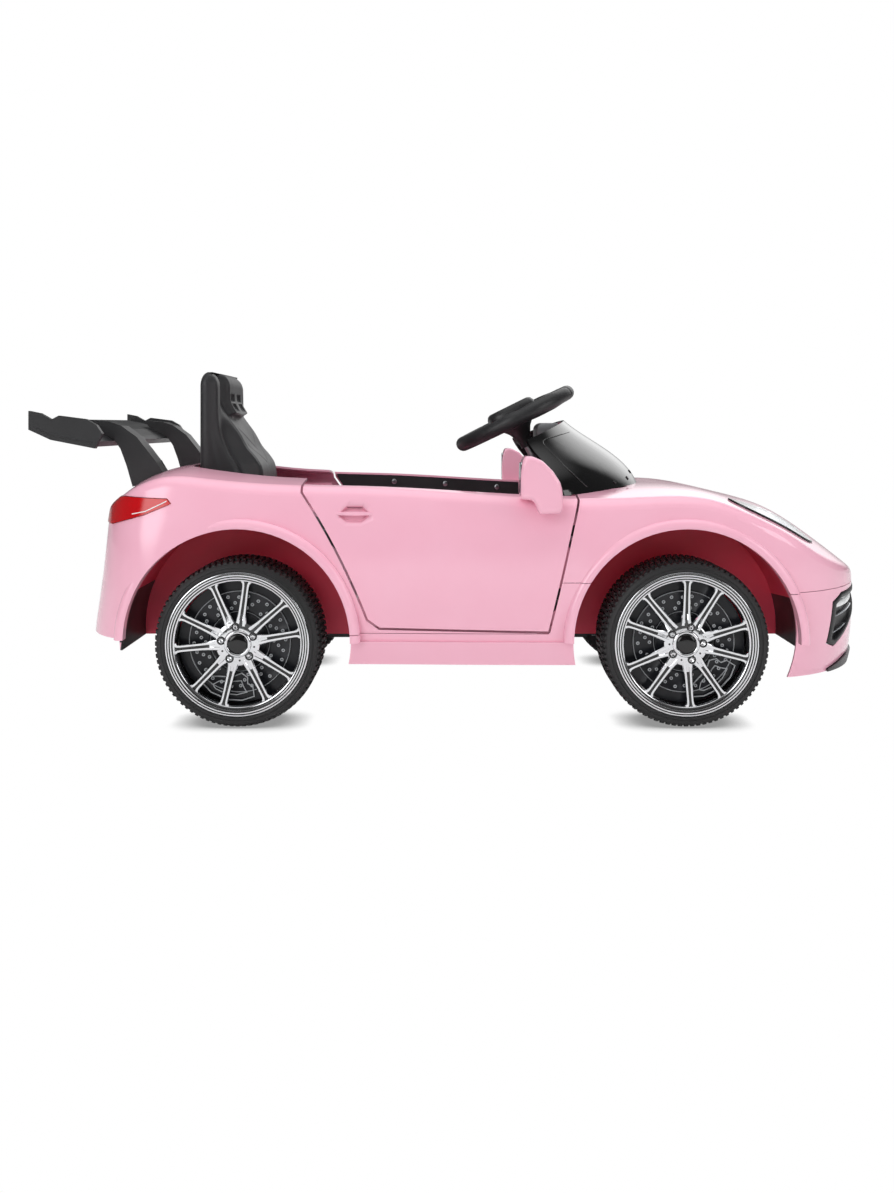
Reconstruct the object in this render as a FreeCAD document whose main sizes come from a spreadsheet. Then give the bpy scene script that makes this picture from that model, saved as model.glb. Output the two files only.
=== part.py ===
import FreeCAD, Part
import math
import os
import re
import Sketcher
from FreeCAD import Placement, Rotation, Vector

# Electric ride-on car for a small child, in millimetres: nose towards +X, left side at +Y,
# origin on the floor below the middle of the car.

doc = FreeCAD.newDocument("RideOnCar")

# Driving dimensions, in millimetres; names in _angle are degrees and names in _count are counts
sizes = [
    ("overall_length", 1110),        # nose to wing tip
    ("body_width", 490),             # over the fenders
    ("wing_overhang", 48),           # wing tip behind the tail
    ("wheelbase", 572),
    ("rear_axle_back", 289),         # rear axle behind the middle of the car
    ("track_width", 480),            # over the outer faces of the tyres
    ("wall", 3),                     # moulded panels
    ("fit_gap", 0.05),               # radial, on shafts and pins
    ("clear_gap", 0.5),              # between pieces that stay apart
    ("panel_gap", 0.8),              # parting line between fixed panels
    # body surface
    ("floor_level", 40),             # lower end of the surface before trimming
    ("waist_height", 200),           # where the sides are widest
    ("side_tuck", 24),               # sides drawn in at the floor level
    ("side_tumble", 14),             # sides drawn in at the shoulder
    ("door_waist", 4),               # sides drawn in between the fenders
    ("tail_round", 95),
    ("nose_round", 195),
    ("tail_height", 268),
    ("deck_height", 330),
    ("door_rear_height", 318),
    ("door_front_height", 301),
    ("fender_height", 303),
    ("nose_height", 172),
    ("shoulder_radius", 18),
    ("top_crown", 14),
    ("nose_drop", 42),
    ("tail_drop", 20),
    # trim levels of the panels
    ("sill_height", 79),
    ("bumper_height", 60),
    ("rear_bumper_height", 113),
    ("bumper_split", 172),
    ("skirt_split", 186),
    ("skirt_ledge", 109),
    ("skirt_depth", 3),
    # wheel arches
    ("arch_radius", 144),
    ("arch_rise", 3),
    ("arch_lip", 6),
    ("bead_width", 17),              # rounded edge of an arch
    ("bead_proud", 1.5),
    ("liner_inner", 105),            # inner wall of a wheel arch from the middle plane
    # doors
    ("door_gap", 3),
    ("door_rear_top", 207),          # behind the middle of the car
    ("door_rear_bottom", 110),       # behind the middle of the car
    ("door_front_top", 145),
    ("door_front_bottom", 107),
    ("door_sill", 125),
    ("door_depth", 24),
    ("liner_width", 15),
    ("hinge_ahead", 14),
    ("hinge_inside", 6),
    ("hinge_pin_radius", 3),
    ("hinge_knuckle_radius", 6),
    ("hinge_lug_height", 14),
    ("hinge_spread", 84),            # between the two hinge lugs of a door
    ("mirror_reach", 34),
    # lamps, vents and lip
    ("lens_proud", 1.2),
    ("lens_wall", 2.6),
    ("lamp_depth", 22),
    ("tail_light_inner", 95),
    ("headlight_back", 148),
    ("headlight_across", 172),
    ("headlight_length", 116),
    ("headlight_width", 68),
    ("headlight_angle", 14),
    ("vent_outer", 192),
    ("vent_inner", 62),
    ("vent_low", 94),
    ("vent_depth", 14),
    ("strip_count", 3),
    ("strip_height", 5),
    ("strip_pitch", 12),
    ("lip_height", 16),
    ("lip_length", 75),
    # cockpit
    ("cockpit_rear", 372),           # behind the middle of the car
    ("cockpit_front", 226),
    ("cockpit_half_width", 150),
    ("cockpit_corner", 40),
    ("tub_floor", 97),
    ("tub_front", 172),
    ("tub_half_width", 190),
    ("tub_top", 292),
    ("tub_sill", 122),
    ("seat_box_height", 96),
    ("seat_box_front", 150),         # behind the middle of the car
    # chassis
    ("chassis_thickness", 6),
    ("chassis_half_width", 98),
    ("rail_inner", 55),
    ("rail_width", 25),
    ("rail_front", 415),
    # wheels
    ("wheel_radius", 107),
    ("tyre_width", 86),
    ("tyre_shoulder", 7),
    ("rim_radius", 92),
    ("rim_lip", 5),
    ("bead_radius", 82),
    ("barrel_wall", 4),
    ("spoke_count", 10),
    ("spoke_depth", 9),
    ("spoke_hub_width", 15),
    ("spoke_rim_width", 8),
    ("spoke_set", 5),                # spokes behind the rim face
    ("hub_radius", 28),
    ("disc_set", 26),                # backing disc behind the rim face
    ("disc_wall", 4),
    ("brake_ring_outer", 64),
    ("brake_ring_inner", 38),
    ("cap_radius", 12.5),
    ("cap_depth", 4),
    ("lug_count", 5),
    ("lug_circle", 21.5),
    ("lug_radius", 3.6),
    ("axle_radius", 6),
    ("drive_radius", 40),
    ("motor_radius", 19),
    ("motor_length", 74),
    ("wheel_side_gap", 4),
    # steering
    ("kingpin_half_track", 140),
    ("kingpin_radius", 5),
    ("boss_radius", 13),
    ("fork_thickness", 8),
    ("fork_back", 10),
    ("beam_height", 20),
    ("beam_depth", 20),
    ("steer_arm", 45),
    ("tie_rod_drop", 26),            # middle of the tie rod below the axle
    ("tie_rod_thickness", 6),
    ("tie_rod_width", 16),
    ("tie_pin_radius", 3),
    ("tie_pin_gap", 0.5),
    ("steer_angle", 18),
    ("crank_angle", 35),
    ("crank_ball_radius", 4),
    ("crank_ball_gap", 0.8),
    ("crank_thickness", 6),
    ("column_angle", 26.4),          # from upright
    ("column_radius", 6),
    ("steering_hub_x", 73.2),
    ("steering_hub_z", 403.6),
    ("grip_radius", 10.5),
    ("steering_wheel_radius", 86),
    ("steering_flat", 84),
    ("steering_corner", 26),
    ("steering_hub_radius", 30),
    ("steering_hub_depth", 18),
    ("steering_spoke", 18),
    ("horn_travel", 2),
    ("horn_radius", 7),
    # cowl, dash and controls
    ("cowl_wall", 4),
    ("cowl_half_width", 205),
    ("cowl_top_half_width", 165),
    ("cowl_base", 304),
    ("cowl_top", 393),
    ("cowl_front", 254),
    ("cowl_top_front", 149),
    ("cowl_side_rear", 129),
    ("cowl_top_rear", 85),
    ("dash_thickness", 8),
    ("dash_half_width", 140),
    ("start_button_radius", 9),
    ("switch_width", 14),
    ("switch_height", 26),
    ("trunnion_radius", 1.5),
    ("socket_radius", 4),
    ("pedal_length", 62),
    ("pedal_width", 44),
    ("pedal_angle", 48),
    ("pedal_across", 58),
    ("pedal_pin_radius", 3),
    # seat
    ("seat_top", 460),
    ("seat_half_width", 112),
    ("seat_base_half_width", 98),
    ("seat_cushion", 22),
    ("bolster_low", 76),             # lower edge of the side bolsters above the seat box
    # wing
    ("wing_span", 474),
    ("wing_chord", 94),
    ("wing_top", 404),
    ("strut_across", 150),
    ("strut_width", 34),
    # electrics under the seat and hood
    ("battery_length", 100),
    ("battery_width", 150),
    ("battery_height", 68),
    ("control_length", 70),
    ("control_width", 60),
    ("control_height", 38),
    ("screw_head_radius", 5),
    ("screw_head_height", 2.5),
]

sheet = doc.addObject("Spreadsheet::Sheet", "Sizes")
for row, (alias, value) in enumerate(sizes, start=1):
    sheet.set("A%d" % row, alias)
    sheet.set("B%d" % row, str(value))
    sheet.setAlias("B%d" % row, alias)
doc.recompute()

aliases = {alias for alias, value in sizes}
nodes = []


def size(text):
    return float(sheet.evalExpression(str(text)))


def link(text):
    # the same text with the sheet's name before each of its aliases
    def full(found):
        word = found.group()
        return "Sizes." + word if word in aliases else word
    return re.sub(r"[a-z_]+", full, str(text))


def bind(obj, **texts):
    for name, text in texts.items():
        obj.setExpression(name, link(text))


def place(obj, at, turn=None):
    obj.Placement = Placement(Vector(), turn or Rotation())
    for axis, text in zip("xyz", at):
        obj.setExpression("Placement.Base." + axis, link(text))
    return obj


def node(label, obj):
    obj.Label = label
    nodes.append(obj)
    return obj


def box(name, length, width, height, at, turn=None):
    obj = doc.addObject("Part::Box", name)
    bind(obj, Length=length, Width=width, Height=height)
    return place(obj, at, turn)


# A cylinder stands on its base point and runs along the turned Z axis
alongX = Rotation(Vector(0, 1, 0), 90)
alongY = Rotation(Vector(1, 0, 0), -90)


def cylinder(name, radius, height, at, turn=None):
    obj = doc.addObject("Part::Cylinder", name)
    bind(obj, Radius=radius, Height=height)
    return place(obj, at, turn)


def sphere(name, radius, at):
    obj = doc.addObject("Part::Sphere", name)
    bind(obj, Radius=radius)
    return place(obj, at)


def fuse(name, *pieces):
    obj = doc.addObject("Part::MultiFuse", name)
    obj.Shapes = list(pieces)
    return obj


def cut(name, base, *tools):
    obj = doc.addObject("Part::Cut", name)
    obj.Base = base
    obj.Tool = tools[0] if len(tools) == 1 else fuse(name + "Tools", *tools)
    return obj


def feature(name, shape, placement=None):
    obj = doc.addObject("Part::Feature", name)
    obj.Shape = shape
    if placement:
        obj.Placement = placement
    return obj


def outline(body, name, plane, points, offset=None):
    # closed sketch of straight lines, each corner held at two bound distances from the origin
    planes = {item.Role: item for item in body.Origin.OriginFeatures}
    sketch = body.newObject("Sketcher::SketchObject", name)
    sketch.AttachmentSupport = [(planes[plane], "")]
    sketch.MapMode = "FlatFace"
    if offset:
        sketch.setExpression("AttachmentOffset.Base.z", link(offset))
    corners = [(size(x), size(y)) for x, y in points]
    count = len(points)
    for i in range(count):
        start = Vector(*corners[i], 0)
        end = Vector(*corners[(i + 1) % count], 0)
        sketch.addGeometry(Part.LineSegment(start, end), False)
    for i in range(count):
        sketch.addConstraint(Sketcher.Constraint("Coincident", i, 2, (i + 1) % count, 1))
    for i, (x, y) in enumerate(points):
        for kind, text, value in (("DistanceX", x, corners[i][0]), ("DistanceY", y, corners[i][1])):
            index = sketch.addConstraint(Sketcher.Constraint(kind, i, 1, value))
            sketch.setExpression("Constraints[%d]" % index, link(text))
    return sketch


def newBody(name, at=("0", "0", "0"), turn=None):
    return place(doc.addObject("PartDesign::Body", name), at, turn)


def revolve(body, name, points):
    # a profile of radius and place along Y, turned about the body's Y axis
    sketch = outline(body, name + "Profile", "XY_Plane", points)
    turned = body.newObject("PartDesign::Revolution", name)
    turned.Profile = sketch
    turned.ReferenceAxis = (sketch, ["V_Axis"])
    turned.Angle = 360
    return turned


def pad(body, name, plane, points, length, offset=None):
    sketch = outline(body, name + "Profile", plane, points, offset)
    padded = body.newObject("PartDesign::Pad", name)
    padded.Profile = sketch
    bind(padded, Length=length)
    return padded


def polar(body, name, original, count):
    pattern = body.newObject("PartDesign::PolarPattern", name)
    pattern.Originals = [original]
    pattern.Axis = (original.Profile[0], ["N_Axis"])
    pattern.Angle = 360
    bind(pattern, Occurrences=count)
    body.Tip = pattern
    return pattern


def prism(points, axis, start, length):
    # solid of a flat outline: axis "y" takes points in X and Z, "x" in Y and Z, "z" in X and Y
    spots = {
        "x": lambda p: Vector(start, p[0], p[1]),
        "y": lambda p: Vector(p[0], start, p[1]),
        "z": lambda p: Vector(p[0], p[1], start),
    }[axis]
    way = {"x": Vector(length, 0, 0), "y": Vector(0, length, 0), "z": Vector(0, 0, length)}[axis]
    wire = Part.makePolygon([spots(p) for p in points] + [spots(points[0])])
    return Part.Face(wire).extrude(way)


def block(x0, x1, y0, y1, z0, z1):
    return Part.makeBox(x1 - x0, y1 - y0, z1 - z0, Vector(x0, y0, z0))


def mirrored(shape):
    return shape.mirror(Vector(), Vector(0, 1, 0))


def both(shape):
    return Part.makeCompound([shape, mirrored(shape)])


# Shared places
noseX = size("overall_length / 2")
tailX = -size("overall_length / 2 - wing_overhang")
halfWidth = size("body_width / 2")
rearX = -size("rear_axle_back")
frontX = size("wheelbase - rear_axle_back")
axleZ = size("wheel_radius")
wall = size("wall")
panelGap = size("panel_gap")
clearGap = size("clear_gap")


# Body surface
def planOutline(half, tail, nose, z):
    # closed curve seen from above: rounded tail, drawn-in doors, long rounded nose
    tailPower, nosePower = 2.6, 2.1
    tailRound, noseRound = size("tail_round"), size("nose_round")
    points = []
    for angle in (0, 28, 52, 74):
        along, across = math.cos(math.radians(angle)), math.sin(math.radians(angle))
        x = tail + tailRound * (1 - along ** (2 / tailPower))
        points.append((x, half * across ** (2 / tailPower)))
    points.append((rearX, half))
    points.append(((rearX + frontX) / 2, half - size("door_waist")))
    points.append((frontX, half))
    for angle in (66, 44, 22, 0):
        along, across = math.cos(math.radians(angle)), math.sin(math.radians(angle))
        x = nose - noseRound * (1 - along ** (2 / nosePower))
        points.append((x, half * across ** (2 / nosePower)))
    right = [Vector(x, -y, z) for x, y in points]
    left = [Vector(x, y, z) for x, y in points[-2:0:-1]]
    curve = Part.BSplineCurve()
    curve.interpolate(right + left, PeriodicFlag=True)
    return Part.Wire([curve.toShape()])


def bodyBand(inset):
    # height, half width, and how far tail and nose are drawn in there
    waist, floor = size("waist_height"), size("floor_level")
    tuck, tumble = size("side_tuck"), size("side_tumble")
    levels = [
        (floor, halfWidth - tuck, 26, 14),
        (0.45 * floor + 0.55 * waist, halfWidth - tuck / 4, 3, 0),
        (waist, halfWidth, 14, 2),
        (waist + 62, halfWidth - tumble / 3, 20, 10),
        (size("deck_height - 15"), halfWidth - tumble, 30, 26),
        (size("deck_height + 50"), halfWidth - 2 * tumble, 52, 60),
    ]
    wires = [planOutline(half - inset, tailX + tail + inset, noseX - nose - inset, z)
             for z, half, tail, nose in levels]
    return Part.makeLoft(wires, True, False)


def bodyTop(inset):
    # heights along the car, then lowered across it towards the sides, nose and tail
    tailZ, deckZ, noseZ = size("tail_height"), size("deck_height"), size("nose_height")
    doorRearZ, doorFrontZ = size("door_rear_height"), size("door_front_height")
    fenderZ = size("fender_height")
    doorRearX, doorFrontX = -size("door_rear_top"), size("door_front_top")
    stations = [
        (tailX - 53, tailZ - 33),
        (tailX + 7, tailZ),
        (tailX + 52, (tailZ + deckZ) / 2 + 1),
        (tailX + 87, deckZ - 10),
        (tailX + 127, deckZ),
        (tailX + 177, deckZ - 3),
        (doorRearX - 53, doorRearZ + 1),
        (0.75 * doorRearX + 0.25 * doorFrontX, 0.75 * doorRearZ + 0.25 * doorFrontZ),
        (0.35 * doorRearX + 0.65 * doorFrontX, 0.3 * doorRearZ + 0.7 * doorFrontZ),
        (doorFrontX, doorFrontZ),
        (0.4 * doorFrontX + 0.6 * frontX, fenderZ),
        (frontX + 37, fenderZ - 3),
        (noseX - 185, fenderZ - 14),
        (noseX - 135, fenderZ - 28),
        (noseX - 85, (fenderZ + noseZ) / 2 + 10),
        (noseX - 40, noseZ + 42),
        (noseX + 5, noseZ - 5),
        (noseX + 45, noseZ - 62),
    ]
    shares = (-1.22, -0.96, -0.78, -0.53, -0.25, 0, 0.25, 0.53, 0.78, 0.96, 1.22)
    rows = []
    for x, z in stations:
        towardsNose = min(max((x - (noseX - 215)) / 130, 0), 1)
        towardsTail = min(max((tailX + 107 - x) / 90, 0), 1)
        drop = size("nose_drop") * towardsNose + size("tail_drop") * towardsTail
        crown = size("top_crown")
        rows.append([Vector(x, share * halfWidth, z - inset - crown * share ** 4 - drop * share ** 2)
                     for share in shares])
    surface = Part.BSplineSurface()
    surface.interpolate(rows)
    return surface.toShape().extrude(Vector(0, 0, -size("deck_height + 200")))


def bodyBlock(inset):
    # the whole body as a solid, its surface drawn in by inset
    solid = bodyBand(inset).common(bodyTop(inset)).Solids[0]
    rim = [edge for edge in solid.Edges if edge.Closed and edge.BoundBox.ZMin > size("floor_level") + wall]
    return solid.makeFillet(max(size("shoulder_radius") - inset, wall), rim)


def hollow(outside, inside):
    # moulding between two body solids that stand on the same floor level
    def isFloor(face):
        return abs(face.CenterOfMass.z - size("floor_level")) < 0.01
    floors = [[face for face in solid.Faces if isFloor(face)][0] for solid in (outside, inside)]
    skins = [face for solid in (outside, inside) for face in solid.Faces if not isFloor(face)]
    ring = Part.Face([floor.OuterWire for floor in floors])
    ring.validate()
    solid = Part.Solid(Part.Shell(skins + [ring]))
    solid.fix(1e-4, 1e-4, 1e-4)
    return solid


outer = bodyBlock(0)
inner = bodyBlock(wall)
far = halfWidth + 100
rightSide = block(tailX - far, noseX + far, -far, 0, 0, 4 * far)


def whole(half):
    return half.fuse(mirrored(half)).removeSplitter()


def cylinderAcross(radius, x, z, start=-far, length=2 * far):
    return Part.makeCylinder(radius, length, Vector(x, start, z), Vector(0, 1, 0))


# Wheel arches: round openings with a rounded bead along their edge
archZ = axleZ + size("arch_rise")
archRadius = size("arch_radius")
arches = Part.makeCompound([cylinderAcross(archRadius, x, archZ) for x in (rearX, frontX)])


def archBead(x, grow=0):
    bead = size("bead_width / 2")
    across = halfWidth + size("bead_proud") - bead
    ring = Part.makeTorus(archRadius + bead / 2, bead + grow, Vector(x, -across, archZ), Vector(0, 1, 0))
    return ring.common(block(x - far, x + far, -far, 0, axleZ, axleZ + far))


panel = hollow(outer, inner).common(rightSide).fuse([archBead(x) for x in (rearX, frontX)])


# Door outline in side view, from the shoulder round the rear edge to the front edge
def doorOutline(grow):
    rearTop, rearBottom = -size("door_rear_top"), -size("door_rear_bottom")
    frontTop, frontBottom = size("door_front_top"), size("door_front_bottom")
    sill, top = size("door_sill"), size("door_rear_height")
    above = size("deck_height + 60")
    bend = Vector(0.57 * rearTop + 0.43 * rearBottom, 0, (sill + top) / 2 + 10)
    rear = [Vector(rearTop, 0, top - 18), bend, Vector(rearBottom - 13, 0, sill + 13)]
    curve = Part.Arc(*rear)
    corners = [rear[-1], Vector(rearBottom + 2, 0, sill + 2), Vector(frontBottom, 0, sill - 2),
               Vector(frontTop, 0, size("door_front_height") - 12), Vector(frontTop - 2, 0, above),
               Vector(rearTop - 2, 0, above), rear[0]]
    edges = [curve.toShape()] + [Part.makeLine(a, b) for a, b in zip(corners, corners[1:])]
    wire = Part.Wire(edges)
    return wire.makeOffset2D(grow) if grow else wire


def doorPrism(grow, start, end):
    # on the right-hand side, between two distances from the middle plane
    face = Part.Face(doorOutline(grow))
    face.translate(Vector(0, -end, 0))
    return face.extrude(Vector(0, end - start, 0))


doorInner = halfWidth - size("side_tumble + door_depth")
doorGap = size("door_gap")
doorway = doorPrism(doorGap, doorInner - 2 * doorGap, far)


# Cockpit opening in the top of the body
def cockpit():
    rear, front = -size("cockpit_rear"), size("cockpit_front")
    half, corner = size("cockpit_half_width"), size("cockpit_corner")
    low = size("tub_top - 60")
    shape = block(rear, front, -half, half, low, low + far)
    upright = [edge for edge in shape.Edges if edge.BoundBox.ZLength > far / 2]
    shape = shape.makeFillet(corner, upright)
    between = block(-size("door_rear_top") - doorGap, size("door_front_top") + doorGap,
                    -doorInner, doorInner, low, low + far)
    return shape.fuse(between)


# Panels below the parting lines
def slab(x0, x1, z0, z1):
    return block(x0, x1, -far, far, z0, z1)


skirtTop = size("door_sill - 2 - door_gap")
bumperSplit = size("bumper_split")
lowest = size("floor_level") - 10
skirtZone = slab(rearX, frontX, lowest, skirtTop).fuse(
    slab(size("door_front_bottom"), frontX, skirtTop, size("skirt_split")))
bumperZone = slab(frontX, noseX + far, lowest, bumperSplit)
underTail = slab(tailX - far, rearX, lowest, size("rear_bumper_height"))


# Tail light outline in side view; it wraps round the rear corner
def tailLightPrism(grow):
    front, top, low = tailX + 135, size("tail_height + 24"), size("tail_height - 10")
    behind = tailX - 30
    points = [(behind, low - grow), (tailX + 50, low - grow), (tailX + 100, low + 14 - grow),
              (front + grow, top - 6), (tailX + 130, top + grow), (tailX + 71, top + 2 + grow),
              (behind, top - 10 + grow)]
    return prism(points, "y", -far, far - size("tail_light_inner") + grow)


# Headlight outline seen from above: a long oval on the shoulder of the fender
def headlightPrism(grow):
    centre = Vector(noseX - size("headlight_back"), -size("headlight_across"), size("nose_height"))
    oval = Part.Ellipse(Vector(), size("headlight_length / 2") + grow, size("headlight_width / 2") + grow)
    face = Part.Face(Part.Wire([oval.toShape()]))
    face.Placement = Placement(centre, Rotation(Vector(0, 0, 1), size("headlight_angle")))
    return face.extrude(Vector(0, 0, 4 * far))


# Vent outline seen from the front, in the corner of the bumper
def ventPrism(grow):
    outside, inside = -size("vent_outer"), -size("vent_inner")
    low, high = size("vent_low"), size("bumper_split - 4")
    points = [(outside, low + 6), (outside + 14, low), (0.55 * outside + 0.45 * inside, low + 26),
              (inside, high - 24), (inside + 12, high), (outside + 18, high - 4), (outside, high - 14)]
    wire = Part.makePolygon([Vector(noseX - 160, y, z) for y, z in points + points[:1]])
    sharpCorners = 2
    if grow:
        wire = wire.makeOffset2D(grow, sharpCorners)
    return Part.Face(wire).extrude(Vector(160 + far, 0, 0))


shellCuts = [arches, doorway, cockpit(), skirtZone, bumperZone, underTail, tailLightPrism(panelGap),
             headlightPrism(panelGap)]
node("body_shell", feature("BodyShell", whole(panel.cut(shellCuts))))

bumperBottom = slab(frontX, noseX + far, lowest, size("bumper_height"))
lipRear, lipLow = noseX - size("lip_length"), size("bumper_height")
lipTop = lipLow + size("lip_height")


def lipPrism(low, gap):
    # rises from its rear end to its full height below the nose
    points = [(lipRear + gap, low), (lipRear + gap, lipLow + 4 - gap),
              (lipRear + size("lip_length / 2"), lipTop - gap), (noseX + far, lipTop - gap),
              (noseX + far, low)]
    return prism(points, "y", -far, 2 * far)


bumperBody = panel.common(slab(frontX, noseX + far, lowest, bumperSplit - panelGap))
bumper = bumperBody.cut([arches, bumperBottom, lipPrism(lowest, 0), ventPrism(panelGap)])
node("front_bumper", feature("FrontBumper", whole(bumper)))

# Black lip under the nose, a little proud of the bumper
grown = bodyBlock(-size("skirt_depth"))
thick = hollow(grown, inner)
lip = thick.common(lipPrism(lipLow, panelGap))
node("front_lip", feature("FrontLip", lip))

# Skirts below the doors, thicker under a ledge
ledge = size("skirt_ledge")
skirtUpper = slab(rearX, frontX, ledge, skirtTop - panelGap).fuse(
    slab(size("door_front_bottom") + panelGap, frontX, ledge, size("skirt_split") - panelGap))
skirt = thick.common(rightSide).common(slab(rearX, frontX, size("sill_height"), ledge))
skirt = skirt.fuse(panel.common(skirtUpper)).cut([arches, doorway])
node("side_skirts", feature("SideSkirts", both(skirt)))

# Lamps and vents: pieces of the body surface itself
lampOutside = bodyBlock(-size("lens_proud"))
lampInside = bodyBlock(size("lens_wall"))
lamp = hollow(lampOutside, lampInside).common(rightSide)
tailLight = lamp.common(tailLightPrism(0))
node("tail_lights", feature("TailLights", both(tailLight)))
lens = lamp.common(headlightPrism(0))
node("headlight_lenses", feature("HeadlightLenses", both(lens)))
housing = hollow(bodyBlock(size("lens_wall + clear_gap")), bodyBlock(size("lamp_depth"))).common(rightSide)
housing = housing.common(headlightPrism(-1))
node("headlight_housings", feature("HeadlightHousings", both(housing)))
vent = hollow(outer, bodyBlock(size("vent_depth"))).common(rightSide).common(ventPrism(0))
stripTops = [size("bumper_split - 10") - i * size("strip_pitch") for i in range(int(size("strip_count")))]
stripZones = [slab(0, noseX + far, top - size("strip_height"), top) for top in stripTops]
strips = hollow(bodyBlock(1), bodyBlock(size("vent_depth - wall"))).common(rightSide).common(ventPrism(-5))
strips = strips.common(Part.makeCompound(stripZones))
vent = vent.cut(strips)
node("vent_bezels", feature("VentBezels", both(vent)))
node("light_strips", feature("LightStrips", both(strips)))


# Doors: outer skin, inner liner with hinge lugs, mirror housing
doorSkin = panel.common(doorPrism(0, doorInner, far))
hingeY = halfWidth - size("side_tumble + hinge_inside")
hingeLow = Vector(size("door_front_bottom + hinge_ahead"), -hingeY, size("door_sill"))
hingeHigh = Vector(size("door_front_top + hinge_ahead"), -hingeY, size("door_front_height - 12"))
hingeLean = math.degrees(math.atan2(hingeHigh.x - hingeLow.x, hingeHigh.z - hingeLow.z))
hingeFrame = Placement((hingeLow + hingeHigh) * 0.5, Rotation(Vector(0, 1, 0), hingeLean))
hingeSpread, lugHeight = size("hinge_spread"), size("hinge_lug_height")
knuckle, pinRadius = size("hinge_knuckle_radius"), size("hinge_pin_radius")


def hingeLug(middle):
    low = middle - lugHeight / 2
    barrel = Part.makeCylinder(knuckle, lugHeight, Vector(0, 0, low))
    neck = block(-knuckle, knuckle, 0, 2 * knuckle, low, low + lugHeight)
    arm = block(-size("hinge_ahead") - 3 * knuckle, knuckle, knuckle, 2 * knuckle, low, low + lugHeight)
    bore = Part.makeCylinder(pinRadius + size("fit_gap"), lugHeight, Vector(0, 0, low))
    return barrel.fuse([neck, arm]).cut(bore)


lugs = [hingeLug(side * hingeSpread / 2) for side in (-1, 1)]
for lug in lugs:
    lug.Placement = hingeFrame
linerEnds = -size("door_rear_top") - far, size("door_front_top") + far
linerTop = [(linerEnds[0], size("door_rear_height - 2")), (linerEnds[1], size("door_front_height - 2")),
            (linerEnds[1], 4 * far), (linerEnds[0], 4 * far)]
linerBlank = doorPrism(-4, doorInner, doorInner + size("liner_width"))
linerPocket = doorPrism(-16, doorInner + wall, doorInner + size("liner_width") + 1)
linerPocket = linerPocket.cut(prism([(x, z - 30) for x, z in linerTop], "y", -far, 2 * far))
doorLiner = linerBlank.cut(prism(linerTop, "y", -far, 2 * far)).cut(linerPocket)
doorLiner = doorLiner.common(bodyBlock(wall + clearGap)).fuse(lugs)


def pinWithBrackets():
    reach = hingeSpread / 2 + lugHeight / 2 + 1
    pin = Part.makeCylinder(pinRadius, 2 * reach + 30, Vector(0, 0, -reach - 15))
    blocks = [block(-knuckle + 1, ahead, -5 * knuckle, knuckle, low, low + 2 * knuckle)
              for low, ahead in ((reach, 3 * knuckle), (-reach - 2 * knuckle, knuckle))]
    piece = pin.fuse(blocks)
    piece.Placement = hingeFrame
    return piece.common(inner).cut(archBead(frontX, clearGap))


# Mirror housing in side view, standing on the door's outer surface
mirrorX, mirrorZ = size("door_front_top - 75"), size("door_front_height - 27")
mirrorOutline = [(0, 19), (-1, 42), (1, 62), (5, 73), (15, 73), (28, 67), (41, 54), (50, 40), (53, 28),
                 (53, 7), (50, 1), (24, 0), (18, 14), (14, 18)]
mirrorPoints = [(mirrorX + x, mirrorZ + z) for x, z in mirrorOutline]
mirrorStart = -halfWidth - size("mirror_reach - 10")
mirrorHousing = prism(mirrorPoints, "y", mirrorStart, size("mirror_reach + 8"))
outerEdges = [edge for edge in mirrorHousing.Edges if edge.BoundBox.YMax < mirrorStart + 0.1]
mirrorHousing = mirrorHousing.makeFillet(5, outerEdges)
mirrorFace = block(mirrorX - 5, mirrorX + 2, mirrorStart + 5, -halfWidth + 12, mirrorZ + 24, mirrorZ + 66)
mirrorHousing = mirrorHousing.cut([outer, mirrorFace])

for side, turn in (("right", lambda shape: shape), ("left", mirrored)):
    node("door_skin_" + side, feature("DoorSkin" + side.title(), turn(doorSkin)))
    node("door_liner_" + side, feature("DoorLiner" + side.title(), turn(doorLiner)))
    node("mirror_housing_" + side, feature("MirrorHousing" + side.title(), turn(mirrorHousing)))
hingePin = pinWithBrackets()
node("hinge_pins", feature("HingePins", both(hingePin)))


# Tub: cockpit floor and walls with a wheel arch liner in each corner
frontText, rearText = "wheelbase - rear_axle_back", "-rear_axle_back"
archText = "wheel_radius + arch_rise"
linerText = "arch_radius + arch_lip"
linerReach = "body_width / 2 - liner_inner"
beadText = "(bead_width - bead_proud + clear_gap / 2)"
tubLength = "tub_front + cockpit_rear"
tubBlank = box("TubBlank", tubLength, "2 * tub_half_width", "tub_top - tub_floor",
               ("-cockpit_rear", "-tub_half_width", "tub_floor"))
linerOuts, linerIns = [], []
for end, x in (("Rear", rearText), ("Front", frontText)):
    for hand, start in (("Right", "-body_width / 2"), ("Left", "liner_inner")):
        shift = "+" + beadText if hand == "Right" else "- wall"
        linerOuts.append(cylinder("Liner" + end + hand, linerText + " + wall",
                                  linerReach + " + wall -" + beadText, (x, start + shift, archText), alongY))
        linerIns.append(cylinder("Arch" + end + hand, linerText, linerReach, (x, start, archText), alongY))
footwell = box("Footwell", "tub_front + seat_box_front - wall", "2 * (tub_half_width - wall)", "tub_top",
               ("-seat_box_front", "wall - tub_half_width", "tub_floor + wall"))
seatWell = box("SeatWell", "cockpit_rear - seat_box_front - wall", "2 * (tub_half_width - wall)", "tub_top",
               ("wall - cockpit_rear", "wall - tub_half_width", "tub_floor + seat_box_height"))
cavity = cut("TubCavity", fuse("TubSpace", footwell, seatWell), *linerOuts)
underSeat = box("UnderSeat", "cockpit_rear - seat_box_front - 2 * wall", "2 * (liner_inner - 2 * wall)",
                "seat_box_height - wall", ("wall - cockpit_rear", "2 * wall - liner_inner", "tub_floor"))
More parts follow.
